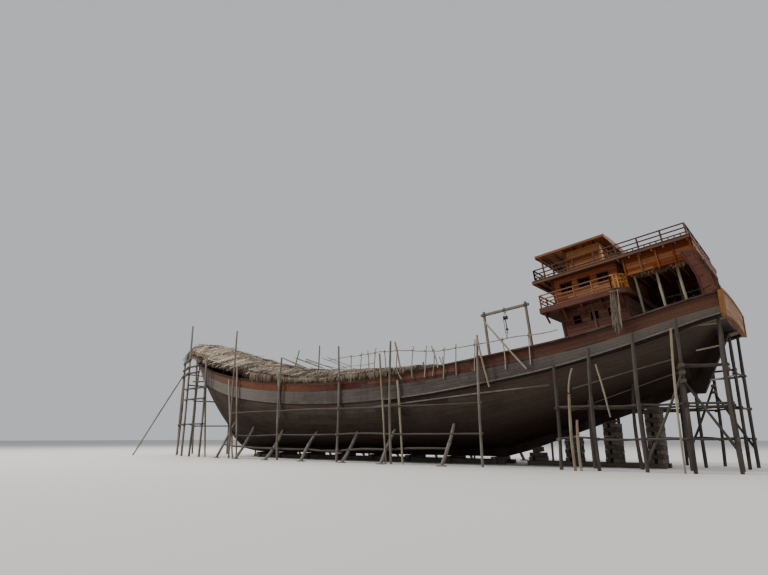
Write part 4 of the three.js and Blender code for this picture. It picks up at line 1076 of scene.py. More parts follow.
# x of the front and aft wall, half-breadth, height and step of the boards; windows, with their frames as wide,
# proud, bars and rails, and doors; posts on the sides as distance out, wide and deep
storeys = {
    "cabin": {
        "front": -0.75, "aft": -4.6, "half": 3.9, "height": (-3.1, -0.31), "step": 0.2,
        "windows": {"side": (windowsAt((-1.7, -2.7, -3.7), 0.22, -1.25, -0.8), 0.06, 0.06, 0, 1)},
        "doors": {"front": [(-0.45, 0.45, -2.55, -0.7)]},
        "postXs": (-4.53, -2.675, -0.82), "posts": (-3.1, -0.32), "post": (0.05, 0.14, 0.07),
        "boards": ("cabinPlanks", "cabin_planks"), "trim": ("cabinPlanks", "cabin_planks"),
    },
    "saloon": {
        "front": -0.55, "aft": -4.4, "half": 3.7, "height": (0.01, 1.69), "step": 0.2,
        "windows": {"side": (windowsAt((-1.4, -2.5, -3.6), 0.32, 0.75, 1.35), 0.07, 0.06, 1, 0),
                    "front": (windowsAt((-2.4, -0.8, 0.8, 2.4), 0.45, 0.75, 1.35), 0.07, 0.06, 1, 0)},
        "doors": {"aft": [(-0.4, 0.4, 0.08, 1.58)]},
        "postXs": (-0.61,), "posts": (0.01, 1.69), "post": (0.04, 0.14, 0.09),
        # saloon boards in the shaded plank: painted shade under the upper deck
        "boards": ("shadedSaloonPlanks", "orange_planks"), "trim": ("cabinPlanks", "pale_wood"),
    },
    "wheelhouse": {
        "front": -1.36, "aft": -3.52, "half": 2.6, "height": (1.87, 3.66), "step": 0.17,
        "windows": {"front": (windowsAt((-1.65, 1.65), 0.6, 2.75, 3.35), 0.07, 0.06, 2, 0),
                    "aft": (windowsAt((-1.7, -0.57, 0.57, 1.7), 0.42, 2.6, 3.4), 0.06, 0.06, 0, 1)},
        "doors": {"front": [(-0.4, 0.4, 1.94, 3.54)]},
        "postXs": (-3.47, -1.41), "posts": (1.87, 3.66), "post": (0.04, 0.11, 0.08),
        # wheelhouse boards and trim in the lit plank: painted light
        "boards": ("litWheelhousePlanks", "wheelhouse_planks"), "trim": ("litWheelhousePlanks", "pale_wood"),
        "aftBoards": ("creamPlanks", "pale_wood"),
    },
}


def makeStorey(name, p):
    walls = {"front": wallOf(p["front"], 0, xAxis), "aft": wallOf(p["aft"], 0, (-1, 0, 0))}
    windows, *frames = p["windows"].get("side", ([], 0, 0, 0, 0))
    out, *sizes = p["post"]
    boards, trim = {"front": [], "aft": []}, []
    for _, facing in sides:
        wall = wallOf(0, facing * p["half"], (0, facing, 0))
        boards["front"] += wallBoards(wall, (p["aft"], p["front"]), p["height"], p["step"], windows)
        trim += windowFrames(wall, windows, *frames)
        trim += [post(x, facing * (p["half"] + out), *p["posts"], *sizes) for x in p["postXs"]]
    for face, wall in walls.items():
        holes = p["windows"].get(face, [[]])[0] + p["doors"].get(face, [])
        boards[face] += wallBoards(wall, (-p["half"], p["half"]), p["height"], p["step"], holes)
    for face, wall in walls.items():
        if face in p["windows"]:
            trim += windowFrames(wall, *p["windows"][face])
    if "aftBoards" in p:
        inHouse(boards.pop("aft"), f"{name}_aft_boards", *p["aftBoards"])
    inHouse(sum(boards.values(), []), f"{name}_boards", *p["boards"])
    inHouse(trim, f"{name}_trim", *p["trim"])


roof = {
    "front": 0.28, "aft": -4.02, "half": 3.2, "edge": 0.13, "crown": 0.3, "board": 0.19, "boardThick": 0.025,
    "fascia": (0.04, 0.15), "soffit": (0.2, 0.19, 0.02), "rafter": (0.62, 0.08, 0.07),
}


def roofTop(y):
    return storey["roof"] + roof["crown"] + (roof["edge"] - roof["crown"]) * (y / roof["half"]) ** 2


def makeRoof():
    r, under = roof, storey["roof"]
    covering, soffit, fascia = [], [], []
    count = int(2 * r["half"] / r["board"])
    for i in range(count):
        y0, y1 = (-r["half"] + 2 * r["half"] * k / count for k in (i, i + 1))
        y = (y0 + y1) / 2
        z = roofTop(y) + 0.012 + 0.008 * (i % 2)
        up = (0, -(roofTop(y1) - roofTop(y0)), y1 - y0)
        a, b = (r["front"] + 0.02, y, z), (r["aft"] - 0.02, y, z)
        covering.append(beam(a, b, y1 - y0 + 0.02, r["boardThick"], upward=up))
    every, *sizes = r["soffit"]
    y, z = r["half"] - 0.02, under - 0.015
    soffit += [beam((x, -y, z), (x, y, z), *sizes) for x in np.arange(r["aft"] + 0.12, r["front"], every)]
    for facing in (-1, 1):
        y, z = facing * (r["half"] + 0.02), under + 0.06
        fascia.append(beam((r["aft"] - 0.04, y, z), (r["front"] + 0.04, y, z), *r["fascia"]))
    ys = np.linspace(-r["half"], r["half"], 9)
    for x in (r["aft"] - 0.02, r["front"] + 0.02):
        for y0, y1 in zip(ys[:-1], ys[1:]):
            z0, z1 = ((under - 0.04 + roofTop(y)) / 2 for y in (y0, y1))
            fascia.append(beam((x, y0, z0), (x, y1, z1), 0.05, roofTop((y0 + y1) / 2) - under + 0.08))
    every, *sizes = r["rafter"]
    y, z = r["half"] - 0.05, under - 0.055
    soffit += [beam((x, -y, z), (x, y, z), *sizes) for x in np.arange(r["aft"] + 0.15, r["front"], every)]
    inHouse(covering, "roof_boards", "roofBoards", "roof_wood")
    # soffit and rafters in the saloon's shaded plank: painted shade under the roof
    inHouse(soffit, "roof_soffit", "shadedSaloonPlanks", "roof_wood")
    inHouse(fascia, "roof_fascia", "roofBoards", "roof_wood")


# heights of the bars above the floor, post, top bar, other bars, and about how far from post to post
galleryRails = {
    "levels": (0.8, 0.56, 0.34), "post": 0.08, "top": (0.1, 0.06), "bar": (0.05, 0.07), "every": 1.1,
}
upperRails = {
    "levels": (0.78, 0.52, 0.26), "post": 0.09, "top": (0.1, 0.06), "bar": (0.05, 0.075), "every": 1.25,
}
balusters = {"every": 0.31, "high": 0.25, "size": 0.06, "y": 3.95}


def railing(route, floor, rails):
    copies = []
    points = [np.array(p, float) for p in route]
    for i, (a, b) in enumerate(zip(points[:-1], points[1:])):
        for k, z in enumerate(rails["levels"]):
            copies.append(beam((*a, floor + z), (*b, floor + z), *rails["bar" if k else "top"]))
        count = max(1, round(float(np.linalg.norm(b - a)) / rails["every"]))
        for n in range(0 if i == 0 else 1, count + 1):
            spot, top = a + (b - a) * n / count, floor + rails["levels"][0] + 0.02
            copies.append(post(*spot, floor + 0.002, top, rails["post"], rails["post"], xAxis))
    return copies


def quarterTurn(x, y, aft, inward):  # points of a rail's or floor's round corner at the port side aft
    return [(x - aft * math.sin(a), y - inward * (1 - math.cos(a))) for a in np.linspace(0, math.pi / 2, 7)]


def mirrored(portSide):
    return [(x, -y) for x, y in portSide][::-1]


def makeRails():
    inset = gallery["half"] - 0.09
    portSide = [(gallery["front"] - 0.09, inset), *quarterTurn(-4.1, inset, 0.7, 0.8)]
    route = mirrored(portSide) + portSide
    bends = railing(route[:7], 0, galleryRails) + railing(route[9:], 0, galleryRails)
    inHouse(bends, "gallery_railing_bends", "paleWood", "pale_wood", ["gallery_rail"])
    straights = railing(route[6:10], 0, galleryRails)
    inHouse(straights, "gallery_railing", "railWood", "pale_wood", ["gallery_rail"])
    b, floor = balusters, storey["upper"]
    x0, x1, y = upper["front"] - 0.1, upper["aft"] + 0.12, b["y"]
    bars = railing([(x0, y), (x1, y), (x1, -y), (x0, -y), (x0, y)], floor, upperRails)
    for facing in (-1, 1):
        for x in np.arange(x1 + 0.3, x0, b["every"]):
            bars.append(post(x, facing * y, floor + 0.002, floor + b["high"], b["size"], b["size"], xAxis))
    inHouse(bars, "upper_railing", "darkRailWood", "dark_rail_wood", ["upper_rail"])


floors = {
    "every": 0.22, "board": (0.215, 0.024), "rise": 0.012, "fasciaZ": -0.15, "fascia": (0.045, 0.32),
    "upperFascia": (0.04, 0.2), "kneeXs": (-4.4, 0.1, 1.08), "knee": (0.12, 0.13), "strut": (0.1, 0.1),
    "timberXs": (-8.3, -7.7, -7.1, -6.5, -5.9, -5.3, -4.7, -0.25, 0.2), "timber": (0.1, 0.11),
}


def makeFloors():
    f, g, u = floors, gallery, upper
    boards, fascia, knees = [], [], []
    for y in np.arange(-g["half"] + 0.12, g["half"], f["every"]):
        inward = max(0.0, abs(y) - (g["half"] - g["corner"]))
        aft = g["aft"] + g["corner"] - math.sqrt(max(0.0, g["corner"] ** 2 - inward**2)) + 0.02
        boards.append(beam((g["front"], y, f["rise"]), (aft, y, f["rise"]), *f["board"]))
    corner = quarterTurn(g["aft"] + g["corner"], g["half"], g["corner"], g["corner"])
    portSide = [(g["front"] + 0.02, g["half"] + 0.02), *[(x - 0.01, y + 0.01) for x, y in corner]]
    edge = [(x, y, f["fasciaZ"]) for x, y in portSide + mirrored(portSide)]
    fascia += between(edge, beam, *f["fascia"])
    x, z = g["front"] + 0.02, f["fasciaZ"]
    fascia.append(beam((x, g["half"], z), (x, -g["half"], z), *f["fascia"]))
    for x in np.arange(*f["kneeXs"]):
        for _, facing in sides:
            knees.append(beam((x, facing * 3.95, -0.37), (x, facing * 4.5, -0.37), *f["knee"]))
            knees.append(beam((x, facing * 3.96, -0.85), (x, facing * 4.42, -0.42), *f["strut"]))
    top = storey["upper"] + f["rise"]
    for y in np.arange(-u["half"] + 0.12, u["half"], f["every"]):
        boards.append(beam((u["front"], y, top), (u["aft"], y, top), *f["board"]))
    z = (storey["upper"] + storey["upperUnder"]) / 2
    for _, facing in sides:
        y = facing * (u["half"] + 0.02)
        fascia.append(beam((u["front"], y, z), (u["aft"], y, z), *f["upperFascia"]))
    x = u["front"] + 0.02
    fascia.append(beam((x, -u["half"], z), (x, u["half"], z), *f["upperFascia"]))
    y, z = u["half"] - 0.04, storey["upperUnder"] - 0.06
    timbers = [beam((x, -y, z), (x, y, z), *f["timber"]) for x in f["timberXs"]]
    inHouse(boards, "floor_boards", "deckPlanks", "deck_planks")
    inHouse(fascia, "floor_fascia", "cabinPlanks", "cabin_planks")
    inHouse(knees, "gallery_knees", "cabinPlanks", "orange_planks")
    # floor timbers in the saloon's shaded plank: painted shade under the upper deck
    inHouse(timbers, "floor_timbers", "shadedSaloonPlanks", "orange_planks")


aftBay = {
    "sideStep": 0.18, "aftStep": 0.17, "aftLow": 1.2, "battenEvery": 0.86, "batten": (0.09, 0.06),
    "light": (1.78, 0.05, 0.2), "postXs": (-5.2, -6.3, -7.4, -8.25), "y": 3.45, "foot": -2.3, "railZ": 0.75,
    "rail": (-8.4, -5.0), "post": 0.07, "bar": 0.06, "tie": 0.085,
}


def makeAftBay():
    b, s, aft = aftBay, screen, upper["aft"]
    top = storey["upperUnder"] - 0.01
    boards, battens, poles = [], [], []
    for _, facing in sides:
        for out, y in ((facing, s["half"]), (-facing, s["half"] - wallSizes["inside"])):
            wall = wallOf(0, facing * y, (0, out, 0))
            boards += wallBoards(wall, (aft, s["front"]), (s["low"], top), b["sideStep"])
        for x in np.arange(aft + 0.1, s["front"] + 0.2, b["battenEvery"]):
            battens.append(post(x, facing * (s["half"] + 0.05), s["low"] - 0.05, top, *b["batten"]))
    wall = wallOf(aft, 0, (-1, 0, 0))
    boards += wallBoards(wall, (-s["half"], s["half"]), (b["aftLow"], top), b["aftStep"])
    z, *sizes = b["light"]
    battens.append(beam((aft - 0.03, -upper["half"], z), (aft - 0.03, upper["half"], z), *sizes))
    # the aft screen in the shaded screen plank: painted shade under the upper deck
    inHouse(boards, "aft_screen_boards", "shadedScreenPlanks", "orange_planks")
    inHouse(battens, "aft_screen_battens", "shadedScreenPlanks", "pale_wood")
    for _, facing in sides:
        y, z = facing * b["y"], b["railZ"]
        poles += [pole((x, y, b["foot"]), (x, y, top), b["post"]) for x in b["postXs"]]
        poles.append(pole((b["rail"][0], y, z), (b["rail"][1], y, z), b["bar"]))
        poles += [lashing((x, y, z), b["tie"]) for x in b["postXs"]]
    inHouse(poles, "aft_bay_poles", "palePoleWood", "pole_wood", ["aft_posts_port", "aft_posts_starboard"])


for storeyName, storeyPlan in storeys.items():
    makeStorey(storeyName, storeyPlan)
makeRoof()
makeRails()
makeFloors()
makeAftBay()
print("deckhouse done")


# CAD timbers that stay in sight take finishes on Object coordinates

timberTurns = {"keel": 0.0, "stem": -62.0, "sternpost": -75.0}  # turns that bring the grain along x
plainParts = {  # finish: CAD nodes
    # the CAD hull shows only in gaps; its near-black finish paints them as shade
    "keelTimber": ["hull_planking"],
    "deckPlanks": ["main_deck_aft", "main_deck_waist", "main_deck_fore", "hatch_coaming"],
    "transomPlanks": ["transom"],
    "cabinPlanks": [
        "cabin_side_port", "cabin_side_starboard", "cabin_front", "cabin_aft", "gallery_floor", "upper_deck",
        "quarter_board_port", "quarter_board_starboard",
    ],
    # saloon and screen in shaded planks, painted shade; wheelhouse sides and front in the lit plank, painted
    # light
    "shadedSaloonPlanks": ["saloon_side_port", "saloon_side_starboard", "saloon_front", "saloon_aft"],
    "shadedScreenPlanks": ["aft_screen_port", "aft_screen_starboard"],
    "litWheelhousePlanks": ["wheelhouse_side_port", "wheelhouse_side_starboard", "wheelhouse_front"],
    "creamPlanks": ["wheelhouse_aft"],
    "roofBoards": ["wheelhouse_roof"],
    "doorWood": ["cabin_door", "saloon_door", "wheelhouse_door", "hatch_lid_port", "hatch_lid_starboard"],
}


def dress(nodes, name, finish, turn=0.0):
    shine = timberExtras.get(finish, {}).get("shine", 0.3)
    material = makeTimber(name, *timberLooks[finish], shine=shine, turn=turn)
    for node in nodes:
        mesh = cad[node].data
        mesh.materials.clear()
        mesh.materials.append(material)


for timber, grainTurn in timberTurns.items():
    dress([timber], f"{timber}Finish", "keelTimber", grainTurn)
for plainFinish, plainNodes in plainParts.items():
    dress(plainNodes, f"{plainFinish}Solid", plainFinish)
print("CAD timbers dressed")


# doors: boards, cross battens, a frame, a ring handle and strap hinges, each riding on its leaf

doors = {  # face, way out, hinge y, run, width, height, sill
    "cabin_door": (-0.75, 1, -0.45, 1, 0.9, 1.85, -2.55),
    "saloon_door": (-4.4, -1, 0.4, -1, 0.8, 1.5, 0.08),
    "wheelhouse_door": (-1.36, 1, -0.4, 1, 0.8, 1.6, 1.94),
}
doorParts = {
    "board": 0.15, "thick": 0.012, "batten": (0.03, 0.12), "gap": 0.012, "strap": (0.012, 0.05),
    "strapLong": 0.62, "handle": (0.05, 0.011), "eye": (0.028, 0.009), "handleIn": 0.12, "frame": (0.1, 0.05),
    "frameOut": 0.036, "knuckles": 0.06,
}


def makeDoors():
    d = doorParts
    for name, (face, out, hinge, run, wide, high, sill) in doors.items():
        place = lambda along, up, proud: (face + out * proud, hinge + run * along, sill + up)
        boards, iron = [], []
        count = round(wide / d["board"])
        width = (wide - 2 * d["gap"] - 0.02) / count
        for i in range(count):
            along = d["gap"] + 0.01 + width * (i + 0.5)
            a, b = place(along, 0.03, 0.008), place(along, high - 0.03, 0.008)
            boards.append(beam(a, b, width - 0.004, d["thick"], upward=xAxis))
        for up in (0.2 * high + 0.16, 0.8 * high - 0.16):
            boards.append(beam(place(0.06, up, 0.026), place(wide - 0.06, up, 0.026), *d["batten"]))
        inHouse(boards, f"{name}_boards", "doorWood", "door_wood", body=name)
        for up in (0.2 * high, 0.8 * high):
            iron.append(beam(place(0.05, up, 0.024), place(wide * d["strapLong"], up, 0.024), *d["strap"]))
        grip = wide - d["handleIn"]
        iron.append(ringAt(place(grip, high * 0.5, 0.035), *d["handle"], xAxis))
        iron.append(ringAt(place(grip, high * 0.5 + 0.05, 0.02), *d["eye"], yAxis))
        inHouse(iron, f"{name}_iron", "iron", "black_iron", body=name)
        frames, (trim, deep), proud = [], d["frame"], d["frameOut"]
        # the hinge side keeps clear of the knuckles
        for along in (-trim / 2 - 0.004 - d["knuckles"], wide + trim / 2 + 0.004):
            a, b = place(along, 0, proud), place(along, high + 0.02, proud)
            frames.append(beam(a, b, trim, deep, upward=xAxis))
        up = high + trim / 2 + 0.03
        frames.append(beam(place(-0.17, up, proud), place(wide + 0.11, up, proud), deep, trim))
        inHouse(frames, f"{name}_frame", "cabinPlanks", "cabin_planks")


makeDoors()
print("doors done")


# gantry, hoist and hatch

gearSpace = Matrix.Translation((-11.85, 0, 5.5)) @ Matrix.Rotation(math.radians(5.6), 4, "Y")
gear = {
    "postX": 1.62, "post": 0.16, "beamZ": 4.96, "beam": 0.18, "reach": 1.87, "foot": -0.42, "postTop": 5.2,
    "strut": (0.42, 0.62, 0.08, 0.12, 0.14), "tie": 0.135,
    "sling": (0.19, 0.024), "eye": (0.26, 0.075, 0.02), "drumZ": 4.4, "drum": (0.12, 0.15),
    "cheek": (0.1, 0.155, 0.035), "hookZ": 3.55, "block": (0.095, 0.06), "hook": (0.2, 0.075, 0.022, 4.4),
    "link": (0.035, 0.012), "slack": (0.13, 0.75),
}


def inGear(copies, name, look, slot, replaces=(), body="ship"):
    lay(copies, name, look, slot, replaces, body, gearSpace)


def makeGantry():
    g = gear
    timbers, ropes = [], []
    high, inward, low, *strut = g["strut"]
    for x in (-g["postX"], g["postX"]):
        timbers.append(post(x, 0, g["foot"], g["postTop"], g["post"], g["post"]))
        timbers.append(beam((x, 0, high), (x + (inward if x < 0 else -inward), 0, low), *strut))
        ropes.append(lashing((x, 0, g["beamZ"]), g["tie"]))
    timbers.append(beam((-g["reach"], 0, g["beamZ"]), (g["reach"], 0, g["beamZ"]), g["beam"], g["beam"]))
    inGear(timbers, "gantry_timbers", "poleWood", "dark_timber", ["gantry"])
    inGear(ropes, "gantry_lashings", "rope", "pole_wood")


# links along a route, each turned against the next
def chain(route, wide, thick):
    links = []
    for a, b in zip(route[:-1], route[1:]):
        a, b = np.array(a, float), np.array(b, float)
        long = float(np.linalg.norm(b - a))
        ahead = (b - a) / long
        count = max(1, round(long / (wide * 1.5)))
        for i in range(count):
            points, *rest = ringAt((0, 0, 0), wide * 0.6, thick, xAxis if len(links) % 2 else yAxis)
            points = points + np.outer(points @ ahead, ahead) * 0.45
            links.append((points + a + (b - a) * (i + 0.5) / count, *rest))
    return links


def makeHoist():
    g = gear
    top, drum, hook = g["beamZ"], g["drumZ"], g["hookZ"]
    wide, thick = g["link"]
    down, *eye = g["eye"]
    x, *cheek = g["cheek"]
    iron = [ringAt((0, 0, top), *g["sling"], xAxis), ringAt((0, 0, top - down), *eye, yAxis)]
    iron += [drumAt((-x, 0, drum), *cheek), drumAt((x, 0, drum), *cheek), drumAt((0, 0, drum), *g["drum"])]
    iron += chain([(0.0, 0.0, hook + 0.12), (0.0, 0.0, drum - 0.15)], wide, thick)
    out, sag = g["slack"]
    loop = [(x, out * math.cos(t), drum - sag - sag * math.sin(t)) for t in np.linspace(0, math.pi, 9)]
    iron += chain([(x, 0.15, drum), *loop, (x, -0.15, drum)], wide * 0.8, thick * 0.8)
    iron.append(drumAt((0, 0, hook), *g["block"]))
    down, radius, rod, turn = g["hook"]
    bends = [(0, radius * math.sin(t), hook - down + radius * math.cos(t)) for t in np.linspace(0, turn, 10)]
    iron += between(bends, rodAt, rod)
    inGear(iron, "chain_hoist_iron", "iron", "black_iron", ["chain_hoist"], "chain_hoist")


hatch = {
    "half": (1.15, 1.3), "sideZ": 0.25, "side": (0.03, 0.46), "lidZ": 0.58, "boards": 6, "boardThick": 0.024,
    "battenXs": (-0.75, 0.0, 0.65), "batten": (0.1, 0.03), "gripXs": (-0.35, 0.35), "grip": (0.05, 0.01),
}


def makeHatch():
    h = hatch
    (long, wide), z, lidZ = h["half"], h["sideZ"], h["lidZ"]
    coaming = []
    for facing in (-1, 1):
        x, y = facing * (long + 0.015), facing * (wide + 0.015)
        coaming.append(beam((-long - 0.02, y, z), (long + 0.02, y, z), *h["side"]))
        coaming.append(beam((x, -wide - 0.02, z), (x, wide + 0.02, z), *h["side"]))
    inGear(coaming, "coaming_boards", "doorWood", "deck_planks")
    run = (wide + 0.01) / h["boards"]
    for name, facing in sides:
        lid, z = [], lidZ + 0.004
        for i in range(h["boards"]):
            y = facing * (0.008 + run * (i + 0.5))
            lid.append(beam((-long - 0.01, y, z), (long + 0.01, y, z), run - 0.006, h["boardThick"]))
        z = lidZ + 0.03
        for x in h["battenXs"]:
            lid.append(beam((x, facing * 0.05, z), (x, facing * (wide - 0.05), z), *h["batten"]))
        body = f"hatch_lid_{name}"
        inGear(lid, f"{body}_boards", "doorWood", "door_wood", body=body)
        grips = [ringAt((x, facing * 0.28, lidZ + 0.035), *h["grip"], (0.15, 0, 1)) for x in h["gripXs"]]
        inGear(grips, f"{body}_rings", "iron", "black_iron", body=body)


makeGantry()
makeHoist()
makeHatch()
print("deck gear done")


# palm-leaf awnings

# x, half-breadth, height of the edge and of the ridge: the leaves lie on this, lower than the CAD's awning
awningRows = {
    "fore": [(25.3, 1.3, 10.45, 11.5), (22.6, 2.0, 9.75, 11.15), (19.8, 3.35, 9.2, 10.6),
             (17.0, 4.2, 8.5, 9.65), (13.2, 4.85, 7.75, 8.65), (9.8, 5.1, 7.1, 7.8)],
    "mid": [(9.6, 5.1, 7.05, 7.72), (4.5, 5.15, 6.3, 7.18), (1.0, 5.15, 6.08, 7.02), (-3.5, 5.15, 6.1, 6.78),
            (-7.4, 5.05, 6.33, 6.6)],
}
awning = {
    "leaf": 2.3, "blades": 15, "blade": 0.62, "models": 5, "every": 0.36, "rows": (1.0, 0.8, 0.6, 0.4, 0.2),
    "step": 0.5, "across": 20, "lining": 0.985, "below": 0.1, "uneven": (-0.045, 0.02), "shell": 0.1,
    "battens": 1.3, "battenShares": (-0.62, -0.3, 0.0, 0.3, 0.62), "lath": 0.028, "clump": 22, "clumpZ": 10.75,
}
leafTones = {"fore": (0.0, 1.0), "mid": (0.0, 0.72)}  # from brown to pale; the middle awning is older
leafDarker = {"fore": 0.0, "mid": 0.5}
patches = {"size": (1.25, 0.42, 0.3), "middle": 0.58, "depth": 1.4, "speckle": {"fore": 0.4, "mid": 0.55}}
fringe = {
    "blades": 11, "wide": 0.3, "blade": 0.05, "models": 6, "closed": 10.5, "past": 0.35, "least": 0.12,
    "beyond": (0.05, 0.35), "lift": 0.03, "ends": (-0.97, 0.98, 0.11), "bowLong": (0.35, 0.8),
    "endLong": (0.25, 0.45),
}
# share of the slope, length, spacing, width and how much darker, as painted shade on the hanging leaves;
# aft of closed, and to starboard, the tips at the eave reach the cap rail
fringeTiers = {
    "fore": ((0.99, 1.0, 0.15, 0.8, 0.8), (0.94, 0.9, 0.2, 1.0, 0.7), (0.82, 0.75, 0.25, 1.0, 0.1)),
    "mid": ((1.06, 0.9, 0.25, 0.3, -0.35), (0.99, 1.0, 0.24, 0.6, 0.4), (0.95, 1.0, 0.16, 1.0, 0.8),
            (0.84, 0.5, 0.26, 0.4, 0.2), (0.7, 0.45, 0.26, 0.4, 0.2), (0.54, 0.4, 0.26, 0.4, 0.2)),
}
fringeLong = np.array([
    (-7.4, 0.35), (-3.5, 0.6), (1.0, 0.75), (5.0, 0.8), (9.8, 0.85), (13.0, 0.5), (18.0, 0.4), (25.3, 0.55),
])
lathRows = [  # loose laths on the middle awning: x and z of the free end, of the resting end, distance out
    (9.9, 8.67, 6.9, 7.5, 1.5), (9.2, 8.5, 6.3, 7.45, 2.2), (8.7, 8.6, 5.5, 7.5, 1.2),
    (7.7, 8.4, 4.8, 7.4, 1.8), (6.9, 8.33, 4.0, 7.3, 1.5), (6.2, 8.15, 3.3, 7.2, 2.3),
    (5.3, 8.3, 2.7, 7.3, 1.2), (4.4, 8.25, 1.85, 7.3, 1.5), (8.2, 8.3, 5.3, 7.1, 3.0), (5.6, 7.9, 2.4, 7.1, 2.9),
]


def leafTone(name, spot, darker=0.0):
    low, high = leafTones[name]
    field = fieldNoise.noise(Vector([c * size for c, size in zip(spot, patches["size"])]))
    speckle = dice.uniform(-1, 1) * patches["speckle"][name]
    share = patches["middle"] + patches["depth"] * field + speckle - darker
    return low + (high - low) * min(max(share, 0.0), 1.0)


def awningAt(rows, x):
    table = np.array(sorted(rows))
    return [float(np.interp(x, table[:, 0], table[:, i])) for i in (1, 2, 3)]


def onAwning(rows, x, share, below=0.0):
    half, edge, ridge = awningAt(rows, x)
    return np.array([x, half * share, ridge + (edge - ridge) * share**2 - below])


# one dry leaf: a rib with narrow blades on both sides, pointing along x and hanging more towards its tip
def leafModel(seed):
    shape = random.Random(seed)
    deselect()
    bpy.ops.mesh.primitive_grid_add(x_subdivisions=7, y_subdivisions=1, size=1)
    rib = bpy.context.object
    for v in rib.data.vertices:
        t = v.co.x + 0.5
        v.co = (t * awning["leaf"], v.co.y * 0.07 * (1 - 0.6 * t), -0.1 * t * t + 0.01)
    parts = [rib]
    for i in range(awning["blades"]):
        t = 0.12 + 0.88 * i / (awning["blades"] - 1)
        for facing in (-1, 1):
            bpy.ops.mesh.primitive_grid_add(x_subdivisions=3, y_subdivisions=1, size=1)
            blade = bpy.context.object
            long = awning["blade"] * shape.uniform(0.65, 1.15) * (1 - 0.45 * abs(t - 0.45))
            angle = facing * math.radians(shape.uniform(22, 58) * (1 - 0.35 * t))
            droop, roll = shape.uniform(0.12, 0.5), shape.uniform(-0.6, 0.6)
            for v in blade.data.vertices:
                s = v.co.x + 0.5
                width = v.co.y * 0.055 * (1.02 - 0.85 * s)
                ahead, sideways = long * s, width * math.cos(roll)
                v.co = (
                    t * awning["leaf"] + ahead * math.cos(angle) - sideways * math.sin(angle),
                    ahead * math.sin(angle) + sideways * math.cos(angle),
                    -0.1 * t * t - droop * long * s * s + width * math.sin(roll),
                )
            parts.append(blade)
    return together(parts)


# leaf tips that hang from an eave: narrow blades, one unit long, down along -z
def tuftModel(seed):
    shape = random.Random(seed)
    blades = []
    for i in range(fringe["blades"]):
        bpy.ops.mesh.primitive_grid_add(x_subdivisions=4, y_subdivisions=1, size=1)
        blade = bpy.context.object
        foot = (i / (fringe["blades"] - 1) - 0.5) * fringe["wide"]
        fan, long = math.radians(shape.uniform(-24, 24)), shape.uniform(0.55, 1.0)
        turn, kick, curl = shape.uniform(0, math.pi), shape.uniform(-0.02, 0.14), shape.uniform(-0.12, 0.2)
        for v in blade.data.vertices:
            t = v.co.x + 0.5
            width = v.co.y * fringe["blade"] * (1 - 0.8 * t)
            v.co = (
                foot + long * t * math.sin(fan) + width * math.cos(turn),
                kick + curl * t * (1 - t) + width * math.sin(turn), -long * t * math.cos(fan),
            )
        blades.append(blade)
    return together(blades)


leafShapes = [arraysOf(leafModel(seed)) for seed in range(awning["models"])]
tuftShapes = [arraysOf(tuftModel(seed)) for seed in range(fringe["models"])]


def leafAt(foot, ahead, up, size, tone):
    points, faces, _ = leafShapes[dice.randrange(len(leafShapes))]
    roll = dice.uniform(-0.35, 0.35)
    c, s = math.cos(roll), math.sin(roll)
    spin = np.array([[1, 0, 0], [0, c, -s], [0, s, c]])
    world = (points * size) @ spin.T @ turnOf(ahead, up).T + foot
    shift = dice.uniform(0, 30)
    return copied(world, faces, (points[:, 0] + shift, points[:, 1] + shift), tone)


def tuftAt(head, outward, long, tone, wide=1.0):
    points, faces, _ = tuftShapes[dice.randrange(len(tuftShapes))]
    out = np.array(outward, float) / np.linalg.norm(outward)
    along = np.array([out[1], -out[0], 0.0]) * dice.choice((-1, 1))
    axes = np.stack([along, out, np.array(zAxis, float)], axis=1)
    world = (points * np.array([wide, 1, long])) @ axes.T + head
    shift = dice.uniform(0, 30)
    return copied(world, faces, (points[:, 2] * long + shift, points[:, 0] + shift), tone)


# a lumpy sheet under the leaves, so that no light comes through
def makeLining(name, rows):
    a = awning
    x0, x1 = rows[-1][0], rows[0][0]
    columns = max(8, int((x1 - x0) / a["step"]))
    points = []
    for r in range(a["across"] + 1):
        share = (2 * r / a["across"] - 1) * a["lining"]
        xs = [x0 + (x1 - x0) * c / columns for c in range(columns + 1)]
        points.append([onAwning(rows, x, share, a["below"] - dice.uniform(*a["uneven"])) for x in xs])
    sheet = gridOn(np.array(points))[0]
    for loop, corner in zip(sheet.data.loops, sheet.data.uv_layers.active.data):
        spot = sheet.data.vertices[loop.vertex_index].co
        corner.uv = (spot.y, spot.x)
    setTones(sheet.data, [dice.uniform(0.0, 0.35) for _ in sheet.data.polygons])
    applied(sheet, "SOLIDIFY", thickness=a["shell"], offset=-1, use_even_offset=False)
    finished(sheet, f"awning_{name}_lining", "thatch", "palm_thatch", [f"awning_{name}"])


